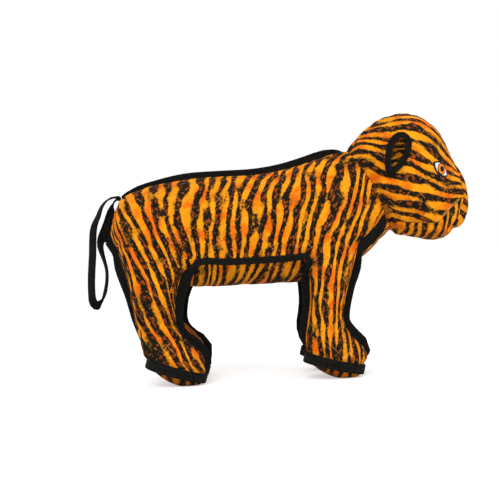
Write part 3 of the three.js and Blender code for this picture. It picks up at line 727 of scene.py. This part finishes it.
def cutAlong(piece, warp, inRegion, **settings):
    # lays the wanted line straight, cuts the mesh along it, and puts the points back
    points = readPoints(piece)
    axis, shift = warp(points)
    moved = points.copy()
    moved[:, axis] -= shift
    writePoints(piece, moved)
    pickOnly(piece)
    wanted = inRegion(points)
    piece.data.polygons.foreach_set("select", [bool(all(wanted[v] for v in face.vertices))
                                               for face in piece.data.polygons])
    piece.data.vertices.foreach_set("select", wanted)
    bpy.ops.object.mode_set(mode="EDIT")
    bpy.ops.mesh.select_mode(type="FACE")
    bpy.ops.mesh.bisect(plane_co=(0, 0, 0), plane_no=np.eye(3)[axis], **settings)
    bpy.ops.object.mode_set(mode="OBJECT")
    after = readPoints(piece)
    after[:, axis] += warp(after)[1]
    writePoints(piece, after)


def neckShift(points):
    line = np.array(neckLine)[::-1] * mm
    return 0, np.interp(points[:, 2], line[:, 1], line[:, 0])


def jawShift(points):
    line = np.array(jawLine) * mm
    return 2, np.interp(points[:, 0], line[:, 0], line[:, 1])


def stripShift(side):
    return lambda points: (1, side * stripEdge(points))


def nearJaw(points):
    return (points[:, 0] > 0.111) & (points[:, 0] < 0.195) & (points[:, 2] < 0.2)


def onStrip(points):
    turn = headTurn(points)
    return (points[:, 0] > neckShift(points)[1] + 0.001) & (turn > stripTurns[0]) & (turn < stripTurns[1])


cutAlong(skin, neckShift, lambda points: (points[:, 2] > 0.14) & (points[:, 0] > 0.06))
cutAlong(skin, jawShift, nearJaw)
cutAlong(skin, stripShift(1), onStrip)
cutAlong(skin, stripShift(-1), onStrip)
print("seams cut in:", len(skin.data.polygons), "faces")


def seamValues(points):
    # for each seam, how far each point lies from it, signed, and whether it shows there
    flat = points[:, [0, 2]]
    neck = points[:, 0] - neckShift(points)[1]
    neckSigned = np.abs(sideOfLine(flat, neckLine)) * np.sign(neck)
    jawSigned = sideOfLine(flat, jawLine)
    jawShown = (points[:, 0] > 0.108) * (1 - easeIn(points[:, 0], 0.187, 0.193))
    jawShown *= np.abs(jawSigned) < 0.03
    stripSigned = np.abs(points[:, 1]) - stripEdge(points)
    stripShown = easeIn(neck, 0.0, 0.004) * easeIn(headTurn(points), -64, -58)
    return {
        "neckSeam": (neckSigned, (points[:, 2] > 0.145).astype(float)),
        "jawSeam": (jawSigned, jawShown),
        "stripSeam": (stripSigned, stripShown),
    }


def drawIn(signed, shown, depth, reach):
    return depth * np.exp(-(signed / reach) ** 2 * 3) * shown


points, normals = readBoth(skin)
seams = seamValues(points)
inward = drawIn(*seams["neckSeam"], cover["seamDepth"] * 1.2, cover["seamReach"])
inward += drawIn(*seams["stripSeam"], cover["seamDepth"] * 0.7, cover["seamReach"] * 0.8)
jawSigned, jawShown = seams["jawSeam"]
below = np.where(jawSigned < 1e-5, 1.0, 0.0)
mouth = easeIn(points[:, 0], 0.15, 0.168)
inward += drawIn(jawSigned, jawShown, cover["lipDepth"] * 1.1, cover["lipReach"]) * below
inward -= drawIn(jawSigned, jawShown, cover["lipDepth"] * mouth * 0.6, cover["lipReach"]) * (1 - below)
inward += drawIn(jawSigned, jawShown * (1 - mouth), cover["seamDepth"] * 0.6, 0.004) * (1 - below)
writePoints(skin, points - normals * inward[:, None])


# Cloth: where each point of the cover lies on the flat printed panel that it was cut from

grainLines = {
    # how far a body stripe leans forward as it rises: places along (columns), heights (rows), the table
    "body": (
        [-165, -140, -110, -80, -40, 0, 40, 75, 105],
        [15, 60, 110, 150, 180, 210],
        [[-0.2, -0.4, -0.5, -0.5, 0.0, 0.05, 0.04, 0.05, 0.1],
         [-0.2, -0.4, -0.4, -0.3, 0.0, 0.05, 0.04, 0.12, 0.2],
         [-0.3, -0.4, -0.35, -0.1, 0.1, 0.15, 0.12, 0.3, 0.5],
         [-0.5, -0.5, -0.3, 0.0, 0.1, 0.22, 0.3, 0.45, 0.4],
         [-0.6, -0.3, -0.1, 0.12, 0.12, 0.2, 0.3, 0.38, 0.1],
         [-0.5, -0.1, 0.0, 0.1, 0.15, 0.2, 0.1, 0.3, 0.2]],
    ),
    # how steeply a head stripe climbs as it runs forward
    "head": (
        [80, 105, 130, 155, 176, 192],
        [163, 183, 203, 223, 243, 262],
        [[-0.35, -0.25, -0.3, -0.3, -0.1, 0.1],
         [-0.5, -0.35, -0.2, -0.25, -0.2, -0.1],
         [-0.5, -0.4, -0.3, -0.4, -0.35, -0.3],
         [-0.5, -0.4, -0.3, -0.5, -0.7, -0.6],
         [-0.4, -0.3, -0.15, -0.4, -0.8, -1.0],
         [-0.3, -0.2, -0.1, -0.3, -0.8, -1.0]],
    ),
}
printScale = {"head": 0.78, "strip": 0.9}  # these panels are cut where the stripes lie further apart
printSkew = (0.3, 0.2)  # the panels underneath run across from side to side, so left and right differ
formRadius = {"body": (0.009, 0.022, 0.052), "muzzle": 0.062}  # at a foot, a leg and the belly
panelEdges = {
    # how far from the middle, how far up and from where along the panels of the cover run, in metres
    "leg": 0.118,
    "gusset": (0.0515, 0.13),
    "chest": (0.0385, 0.17, 0.055),
    "jaw": (0.18, 0.1),
}
denserPlaces = (
    # by how much the black of the print widens there, and where it fades in: along which axis, from and to
    (0.1, (0, -0.06, -0.12), (2, 0.19, 0.1)),  # down the hind legs
    (0.025, (0, 0.02, 0.05), (0, 0.11, 0.08), (2, 0.1, 0.14)),  # over the shoulder
    (0.03, (0, -0.02, 0.02), (2, 0.12, 0.08)),  # down the front legs
    (-0.045, (0, -0.12, -0.15), (2, 0.12, 0.16)),  # it opens out on the rump
)


def flattened(points, normals):
    # unrolls the round sides: the closer to the outline, the more cloth lies in each millimetre seen
    tilt = np.arccos(np.clip(np.abs(normals[:, 1]), 0, 1))
    facing = normals[:, [0, 2]]
    facing = facing / np.maximum(np.linalg.norm(facing, axis=1), 1e-6)[:, None]
    foot, leg, belly = formRadius["body"]
    radius = foot + (leg - foot) * easeIn(points[:, 2], 0.05, 0.09)
    radius += (belly - leg) * easeIn(points[:, 2], 0.085, 0.135)
    return points[:, [0, 2]] + facing * (radius * (tilt - np.sin(tilt)))[:, None]


def follow(moved, level, goal, slope, steps=14):
    # follows the stripes up or down to one level, which gives the place across them
    step = (goal - level) / steps
    for _ in range(steps):
        moved = moved + slope(moved, level) * step
        level = level + step
    return moved


def bodyCloth(flat):
    across = follow(flat[:, 0], flat[:, 1], 0.15, lambda x, z: tableValue(*grainLines["body"], x, z))
    return np.stack([across, flat[:, 1]], 1) * 100


def headCloth(flat):
    across = follow(flat[:, 1], flat[:, 0], 0.14, lambda z, x: tableValue(*grainLines["head"], x, z))
    return np.stack([across, flat[:, 0]], 1) * 100 * printScale["head"]


def clothMaps(piece, panelOf, clothOf):
    # gives each face its panel, and its corners their place on that panel's print and quilting
    mesh = piece.data
    points = readPoints(piece)
    normals = broadNormals(points, broad) if piece == skin else readNormals(piece)
    corners = readIndexes(mesh.loops, "vertex_index")
    panels = panelOf(readVectors(mesh.polygons, "center"), readVectors(mesh.polygons, "normal"))
    ofCorner = np.repeat(panels, readIndexes(mesh.polygons, "loop_total"))
    printed, quilted = np.zeros((2, len(corners), 2))
    for panel in np.unique(panels):
        cloth, quilt = clothOf(panel, points, normals)
        here = ofCorner == panel
        printed[here] = cloth[corners[here]] + [17.3 * panel, 5.1 * panel]  # from its own part of the print
        quilted[here] = quilt[corners[here]]
    writeMap(piece, "print", printed)
    writeMap(piece, "quilt", quilted)


def onePanel(piece, number, axes, size=100):
    # a piece cut from one panel of cloth, laid flat along two axes
    clothMaps(piece, lambda centres, facing: np.full(len(centres), number),
              lambda panel, points, normals: (points[:, axes] * size, points[:, axes] * 100))


def coverPanel(centres, facing):
    # 0 and 1 the right and left side, 2 the under panel, 3 and 4 the head's sides, 5 its strip, 6 the jaw
    along, sideways, up = centres[:, 0], np.abs(centres[:, 1]), centres[:, 2]
    left = (centres[:, 1] > 0).astype(int)
    legs = (up < panelEdges["leg"]) & (facing[:, 1] * np.sign(centres[:, 1]) < 0)
    wide, top = panelEdges["gusset"]
    gusset = (sideways < wide) & (up < top) & (facing[:, 2] < -0.2)
    wide, top, start = panelEdges["chest"]
    chest = (sideways < wide) & (up < top) & (along > start) & (facing[:, 0] > 0.2)
    top, start = panelEdges["jaw"]
    jaw = (up < top) & (along > start) & (sideOfLine(centres[:, [0, 2]], jawLine) < 0)
    strip = (sideways < stripEdge(centres)) & (headTurn(centres) > stripTurns[0])
    onBody = np.where(legs | gusset | chest, 2, left)
    onHead = np.where(strip, 5, np.where(jaw, 6, 3 + left))
    return np.where(along > neckShift(centres)[1], onHead, onBody)


def coverCloth(panel, points, normals):
    flat = flattened(points, normals)
    if panel in (2, 6):
        flat = flat + points[:, 1:2] * printSkew
    if panel <= 2:
        return bodyCloth(flat), flat * 100
    if panel == 5:
        overHead = np.radians(headTurn(points)) * formRadius["muzzle"]
        lengthwise = np.stack([overHead, points[:, 1]], 1) * 100 * printScale["strip"]
        return lengthwise, lengthwise
    if panel == 6:
        return flat * 100, flat * 100
    return headCloth(flat), flat * 100


def quiltPull(quilt):
    angle = math.radians(plushLook["quiltAngle"])
    spacing = plushLook["quiltSpacing"]
    nearest = np.full(len(quilt), 1e9)
    for way in (1, -1):
        side = (quilt[:, 0] * math.sin(angle) + quilt[:, 1] * math.cos(angle) * way) / spacing
        nearest = np.minimum(nearest, (0.5 - np.abs(side - np.floor(side) - 0.5)) * spacing)
    return np.exp(-(nearest / plushLook["quiltReach"]) ** 2)


points, normals = readBoth(skin)
pull = quiltPull(flattened(points, broadNormals(points, broad)) * 100) * cover["quiltDepth"]
calm = easeIn(nearness(points, tapeSurface), 0.003, 0.01)
writePoints(skin, points - normals * (pull * calm)[:, None])


def denserPrint(points):
    denser = np.full(len(points), 0.006)
    for amount, *fades in denserPlaces:
        for axis, low, high in fades:
            amount = amount * easeIn(points[:, axis], low, high)
        denser += amount
    return denser


def paintedLipHighlight(points):
    # painted highlight: the turned edge of the cheek is lightened from the corner of the mouth up to the
    # muzzle, where it would catch the light
    signed, shown = seamValues(points)["jawSeam"]
    corner = easeIn(points[:, 0], 0.158, 0.166)
    return np.exp(-((signed - 0.0009) / 0.0008) ** 2) * corner * shown


clothMaps(skin, coverPanel, coverCloth)
# the denser print, and the painted highlight along the lip
coverValues = [("denser", denserPrint(readPoints(skin))), ("lip", paintedLipHighlight(readPoints(skin)))]
for name, (signed, shown) in seamValues(readPoints(skin)).items():
    coverValues += [(name, signed * 1000), (name + "Shown", shown)]
for title, values in coverValues:
    attribute = skin.data.attributes.new(title, "FLOAT", "POINT")
    attribute.data.foreach_set("value", np.asarray(values, np.float32))
print("cloth laid out")


def everywhere(points):
    return np.ones(len(points), bool)


# head and body part exactly on the neck seam, and both cuts are closed
headCover = twinOf(skin)
headCover.name = "headCover"
parting = {"use_fill": True, "threshold": 0.00002}
cutAlong(headCover, neckShift, everywhere, clear_inner=True, **parting)
cutAlong(skin, neckShift, everywhere, clear_outer=True, **parting)
dress(skin, bodyPlush, 60)
dress(headCover, headPlush, 60)
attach(skin, "toy")
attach(headCover, "toy")
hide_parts(*[name for name in fullBody if name not in ("head", "chin")])
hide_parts("head", "chin")
print("body and head parted at the neck seam")


# Eyes: flat patches stitched on the face, each a little smaller and higher than the one under it

eye = {
    "middle": (0.1688, -0.052, 0.2085),
    "facing": (0.6034, -0.7896, 0.1112),
    "tilt": -43,  # degrees, the inner corner is lower
    "steps": 28,
    "thick": 0.0009,
}
eyePatches = {
    # how long and how high in metres, how pointed its ends are, turned with the eye or upright, its height
    # over the face, its colour and the node that it stands for
    "Rim": (0.0222, 0.0146, 0.8, True, 0.0004, (0.012, 0.011, 0.01, 1), None),
    "White": (0.0182, 0.0102, 0.8, True, 0.0007, (0.78, 0.76, 0.73, 1), "eye"),
    "IrisRing": (0.0101, 0.0118, 0.5, False, 0.001, (0.012, 0.01, 0.008, 1), None),
    "Iris": (0.0085, 0.0102, 0.5, False, 0.0013, (0.83, 0.23, 0.006, 1), "iris"),
    "Pupil": (0.004, 0.0056, 0.5, False, 0.002, (0.004, 0.004, 0.004, 1), None),
}
faceTree = BVHTree.FromObject(headCover, bpy.context.evaluated_depsgraph_get())


def patchMaterial(title, colour):
    _, tree, shader = newMaterial(title, 0.6, 0.05)
    place = addNode(tree, "ShaderNodeTexCoord").outputs["Object"]
    threads = grainOf(scaled(place, (900, 900, 2600)), 1.0, 2.0)
    dull = tuple(value * 0.72 for value in colour[:3]) + (1,)
    tree.links.new(blended(ramped(threads, 0.3, 0.7), dull, colour), shader.inputs["Base Color"])
    raiseBy(tree, shader, threads, 0.0003, 0.6)


def laidOnFace(piece, side, length, height, pointed, turned, lift):
    # bends a square sheet to the patch's outline and lays it on the face
    facing = np.array(eye["facing"])
    level = np.cross((0, 0, 1), facing)
    level = level / np.linalg.norm(level)
    upward = np.cross(facing, level)
    tilt = math.radians(eye["tilt"]) if turned else 0
    points = readPoints(piece)
    across, up = points[:, 0], points[:, 1]
    widest = np.maximum(1 - across ** 2, 0) ** pointed
    flat = np.stack([across * length / 2, up * widest * height / 2], 1)
    flat = flat @ np.array([[math.cos(tilt), math.sin(tilt)], [-math.sin(tilt), math.cos(tilt)]])
    before = np.array(eye["middle"]) + facing * 0.03  # well in front of the face
    places = before + flat[:, :1] * level + flat[:, 1:] * upward
    places[:, 1] *= -side
    ray = Vector((facing[0], facing[1] * -side, facing[2])) * -1
    laid = []
    for place in places:
        hit, normal, _, _ = faceTree.ray_cast(Vector(place), ray)
        laid.append(hit + normal * lift)
    writePoints(piece, np.array(laid))


for sideName, side in (("right", -1), ("left", 1)):
    for title, (length, height, pointed, turned, lift, colour, stands) in eyePatches.items():
        bpy.ops.mesh.primitive_grid_add(x_subdivisions=eye["steps"], y_subdivisions=eye["steps"], size=2)
        piece = bpy.context.object
        piece.name = "eye" + title + sideName.title()
        laidOnFace(piece, side, length, height, pointed, turned, lift)
        mergeDoubles(piece, 0.00004)
        finishWith(piece, "SOLIDIFY", thickness=eye["thick"], offset=1.0 if side > 0 else -1.0)
        if title + "Patch" not in bpy.data.materials:
            patchMaterial(title + "Patch", colour)
        dress(piece, bpy.data.materials[title + "Patch"], 40)
        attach(piece, "toy")
        if stands:
            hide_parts(stands + "_" + sideName)
print("eyes laid on the face")


# Soles: padded ovals under the feet

sole = {"voxel": 0.0016, "smoothing": 4, "press": 0.0006}

for name in [name for name in nodes if "_sole_" in name]:
    foot, _, side = name.split("_")
    piece = copyOfNodes([name], foot + "SolePad" + side.title())
    softForm(piece, sole["voxel"], sole["smoothing"])
    points = readPoints(piece)
    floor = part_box(name)[0].z
    points[:, 2] = np.maximum(points[:, 2] - sole["press"], floor)
    writePoints(piece, points)
    onePanel(piece, 7 + (side == "left"), [0, 1])
    dress(piece, solePlush)
    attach(piece, "toy")
    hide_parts(name)
print("soles made")


# Bindings: folded tape over every strained seam. The lines are the seams, in millimetres, right side

binding = {
    "voxel": 0.0008,
    "smoothing": 3,
    "reach": 0.003,  # how close to the plush an edge is sunk into it
    "sink": 0.002,
    "runOn": 0.0022,  # how far a rear or belly tape goes on to meet its neighbour
}

seamLines = {
    "spine": [(74.2, 0, 234.6), (54.3, 0, 231.1), (34.8, 0, 225.8), (15.2, 0, 220.5), (-4.7, 0, 216.7),
              (-24.9, 0, 214.8), (-45.1, 0, 214.5), (-65.4, 0, 214.5), (-85.6, 0, 214.2),
              (-105.8, 0, 212.1), (-125.6, 0, 208), (-145.2, 0, 202.9), (-162.7, 0, 192.8)],
    "rump": [(-165.5, 0, 181.4), (-169.7, 0, 173.4), (-174.6, 0, 165.8), (-176, 0, 157.2),
             (-174.8, 0, 152.9)],
    "rear": [(-174.3, -1.9, 153), (-170.9, -7.4, 148.6), (-167.6, -12.9, 144.2), (-165, -18, 138.9),
             (-163.9, -22, 132.2), (-162.7, -25.7, 125.5), (-160.5, -29.8, 119.2), (-158, -32.7, 112.4),
             (-155.4, -34.5, 105.2), (-152.8, -35.8, 98), (-150.7, -36.8, 90.5), (-148.9, -37.4, 82.9),
             (-147, -37.8, 75.3), (-145.1, -38, 67.7), (-143, -38, 60.2), (-140.7, -38, 52.7),
             (-138.6, -38, 45.2), (-136.8, -38, 37.5)],
    "belly": [(-82.8, -38, 13), (-86.2, -38, 30.6), (-99.7, -38, 42), (-111.2, -38, 55.7),
              (-113.3, -37.7, 73.3), (-110, -35.9, 90.9), (-102.8, -39.8, 106.9), (-93.8, -45.7, 121.3),
              (-79.8, -50, 131.1), (-61.9, -50.3, 130.2), (-43.9, -50.3, 129.5), (-25.9, -50.3, 129.4),
              (-7.8, -50.4, 129.6), (10.2, -50.3, 130.2), (28, -50.2, 131.7), (31.2, -43.6, 115.9),
              (30.3, -37.9, 98.8), (31.1, -38, 80.9), (29, -38, 63), (25.5, -38, 45.4), (26.2, -38, 27.5)],
    "chest": [(75.1, -38, 11.8), (78.3, -38, 26.2), (71.3, -38, 38.5), (62, -38, 49.9), (58.8, -38, 64),
              (61.4, -38, 78.5), (65.3, -37.6, 92.8), (70.7, -36.4, 106.4), (74.2, -37.9, 120.5),
              (77.9, -40.6, 134.3), (89.5, -38.9, 143.2), (100.3, -36.7, 153.1), (110.2, -34.5, 163.8)],
    "ear": [(115.7, -61.4, 210.5), (119.5, -63, 212.7), (125.3, -62.8, 219.6), (129.8, -62.8, 228.8),
            (130.6, -64, 237.1), (127.5, -66.1, 241.3), (122.5, -68.1, 239.6), (118.2, -68.7, 232.3),
            (116.2, -67.4, 222.4), (116, -64.8, 213.8), (115.7, -61.4, 210.5)],
}
soleRings = {"front": ((22.5, 22.0), (79.0, 7.4)), "hind": ((-140.9, 24.3), (-84.4, 6.4))}
for foot, ((heelX, heelZ), (toeX, toeZ)) in soleRings.items():
    turns = [math.radians(10 * step) for step in range(37)]
    seamLines[foot] = [((heelX + toeX) / 2 - math.cos(turn) * (toeX - heelX) / 2,
                        -38 - 24.5 * math.sin(turn),
                        (heelZ + toeZ) / 2 - math.cos(turn) * (toeZ - heelZ) / 2) for turn in turns]


def seamOn(line, left):
    return np.array(line, float) * (mm, -mm if left else mm, mm)


def stripMap(piece, line, left):
    run, away = alongLine(readPoints(piece), seamOn(line, left))
    corners = readIndexes(piece.data.loops, "vertex_index")
    writeMap(piece, "strip", np.stack([run[corners], away[corners]], 1) * 1000)


ear = {"voxel": 0.0009, "smoothing": 3, "open": 1.12}


def openEar(piece, side):
    # an ear's cloth stands open a little wider than its solid
    low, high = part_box("ear_binding_" + side)
    middle = (low.x + high.x) / 2
    points = readPoints(piece)
    points[:, 0] = middle + (points[:, 0] - middle) * ear["open"]
    writePoints(piece, points)


def sinkIn(piece, surface):
    # a sewn edge goes down into the fold of the piece that holds it
    points = readPoints(piece)
    for index, point in enumerate(points):
        place, _, _, away = surface.find_nearest(Vector(point))
        if 1e-6 < away < binding["reach"]:
            down = (place - Vector(point)) / away
            points[index] += np.array(down) * binding["sink"] * (1 - away / binding["reach"])
    writePoints(piece, points)


def lengthen(piece, line, left):
    # draws the first end of a tape on along its seam, until it meets the one that it carries on from
    line = seamOn(line, left)
    onward = (line[0] - line[1]) / np.linalg.norm(line[0] - line[1])
    points = readPoints(piece)
    ahead = (points - line[0]) @ onward
    points += onward * (easeIn(ahead, -0.003, 0) * binding["runOn"])[:, None]
    writePoints(piece, points)


for name in bindingNames:
    words = name.split("_")
    left = words[-1] == "left"
    title = words[0] + ("Foot" if "foot" in words else "") + "Tape"
    piece = copyOfNodes([name], title + (words[-1].title() if len(words) > 2 else ""))
    softForm(piece, binding["voxel"], binding["smoothing"])
    if words[0] == "ear":
        openEar(piece, words[-1])
    else:
        sinkIn(piece, formSurface)
    if words[0] in ("rear", "belly"):
        lengthen(piece, seamLines[words[0]], left)
    stripMap(piece, seamLines[words[0]], left)
    dress(piece, bindingTape)
    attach(piece, {"right": "right_ear", "left": "left_ear"}[words[-1]] if words[0] == "ear" else "toy")
    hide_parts(name)
print("bindings made")


# Ears: cupped, with the print inside

for side in ("right", "left"):
    name = "ear_" + side
    piece = copyOfNodes([name], "ear" + side.title())
    softForm(piece, ear["voxel"], ear["smoothing"])
    sinkIn(piece, surfaceOf(["ear_binding_" + side]))
    openEar(piece, side)
    onePanel(piece, 9 + (side == "left"), [2, 0], 160)
    dress(piece, earPlush)
    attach(piece, side + "_ear")
    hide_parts(name)
print("ears made")


# Tail: one strip of flat webbing, both ends sewn into the seam

tailLoop = {"edge": 0.0005, "sharpFrom": 50}  # metres and degrees

loopLine = [(-168.1, 0, 198.7), (-176.6, -1.3, 198.3), (-183.6, -3, 193.3), (-187.9, -4.6, 185.8),
            (-190.9, -6.4, 177.7), (-194.3, -8.4, 169.8), (-195.9, -9.9, 161.2), (-196.5, -10.9, 152.5),
            (-196.9, -11.7, 143.7), (-197.6, -12.2, 134.8), (-198.5, -12.5, 126), (-199.3, -12.6, 117.2),
            (-199.9, -12.5, 108.4), (-200.1, -12.1, 99.6), (-199.8, -10.4, 90.9), (-197.5, -4.4, 85.2),
            (-194.4, 3.6, 85.7), (-191.2, 9.3, 91.5), (-188.7, 11.5, 99.6), (-186.9, 12.2, 108.3),
            (-186.2, 12.2, 117.1), (-186.8, 11.8, 125.9), (-188.8, 11.3, 134.5), (-191, 10.8, 143.1),
            (-191.3, 10.1, 151.8), (-188.2, 9.2, 160), (-184.1, 8.2, 167.8), (-180.6, 7.1, 175.8),
            (-177.5, 5.4, 183.9), (-174.5, 2.4, 191.7), (-168.7, 0, 197.6)]

piece = copyOfNodes(["tail_loop"], "tailLoop")
finishWith(piece, "BEVEL", width=tailLoop["edge"], segments=2, limit_method="ANGLE",
           angle_limit=math.radians(tailLoop["sharpFrom"]))
stripMap(piece, loopLine, False)
dress(piece, webbing, 40)
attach(piece, "tail")
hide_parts("tail_loop")
print("tail made")


# Floor, backdrop and light

studio = {
    "floorSize": 8.0,
    "floorColour": (0.8, 0.8, 0.8, 1),
    "floorGlow": 0.45,  # lifts the floor to white for the camera and leaves the soft shadow
    "world": 0.75,
    "key": 28.0,
    "fill": 12.0,
}


def seenDirectly(tree):
    path = addNode(tree, "ShaderNodeLightPath").outputs
    return maths("MAXIMUM", path["Is Camera Ray"], path["Is Glossy Ray"])


bpy.ops.mesh.primitive_plane_add(size=studio["floorSize"], location=(0, 2.0, -0.0002))
floorPiece = bpy.context.object
floorPiece.name = "floor"
floorMaterial, floorTree, floorShader = newMaterial("paleFloor", 0.9)
floorShader.inputs["Base Color"].default_value = studio["floorColour"]
floorShader.inputs["Emission Color"].default_value = (1, 1, 1, 1)
floorGlow = times(seenDirectly(floorTree), studio["floorGlow"])
floorTree.links.new(floorGlow, floorShader.inputs["Emission Strength"])
floorPiece.data.materials.append(floorMaterial)

world = bpy.data.worlds.new("studio")
bpy.context.scene.world = world
world.use_nodes = True
backdrop = world.node_tree.nodes["Background"]
backdrop.inputs["Color"].default_value = (1, 1, 1, 1)
level = ramped(seenDirectly(world.node_tree), 0.0, 1.0, studio["world"], 1.0)
world.node_tree.links.new(level, backdrop.inputs["Strength"])

for title, place, size, energy in (("keyLight", (-0.6, -1.6, 1.5), 1.4, studio["key"]),
                                   ("fillLight", (1.3, -1.2, 0.7), 1.2, studio["fill"])):
    bpy.ops.object.light_add(type="AREA", location=place)
    lamp = bpy.context.object
    lamp.name = title
    lamp.data.size = size
    lamp.data.energy = energy
    lamp.rotation_euler = (Vector((0, 0, 0.12)) - Vector(place)).to_track_quat("-Z", "Y").to_euler()

bpy.context.scene.view_settings.view_transform = "Standard"
print("studio lit")
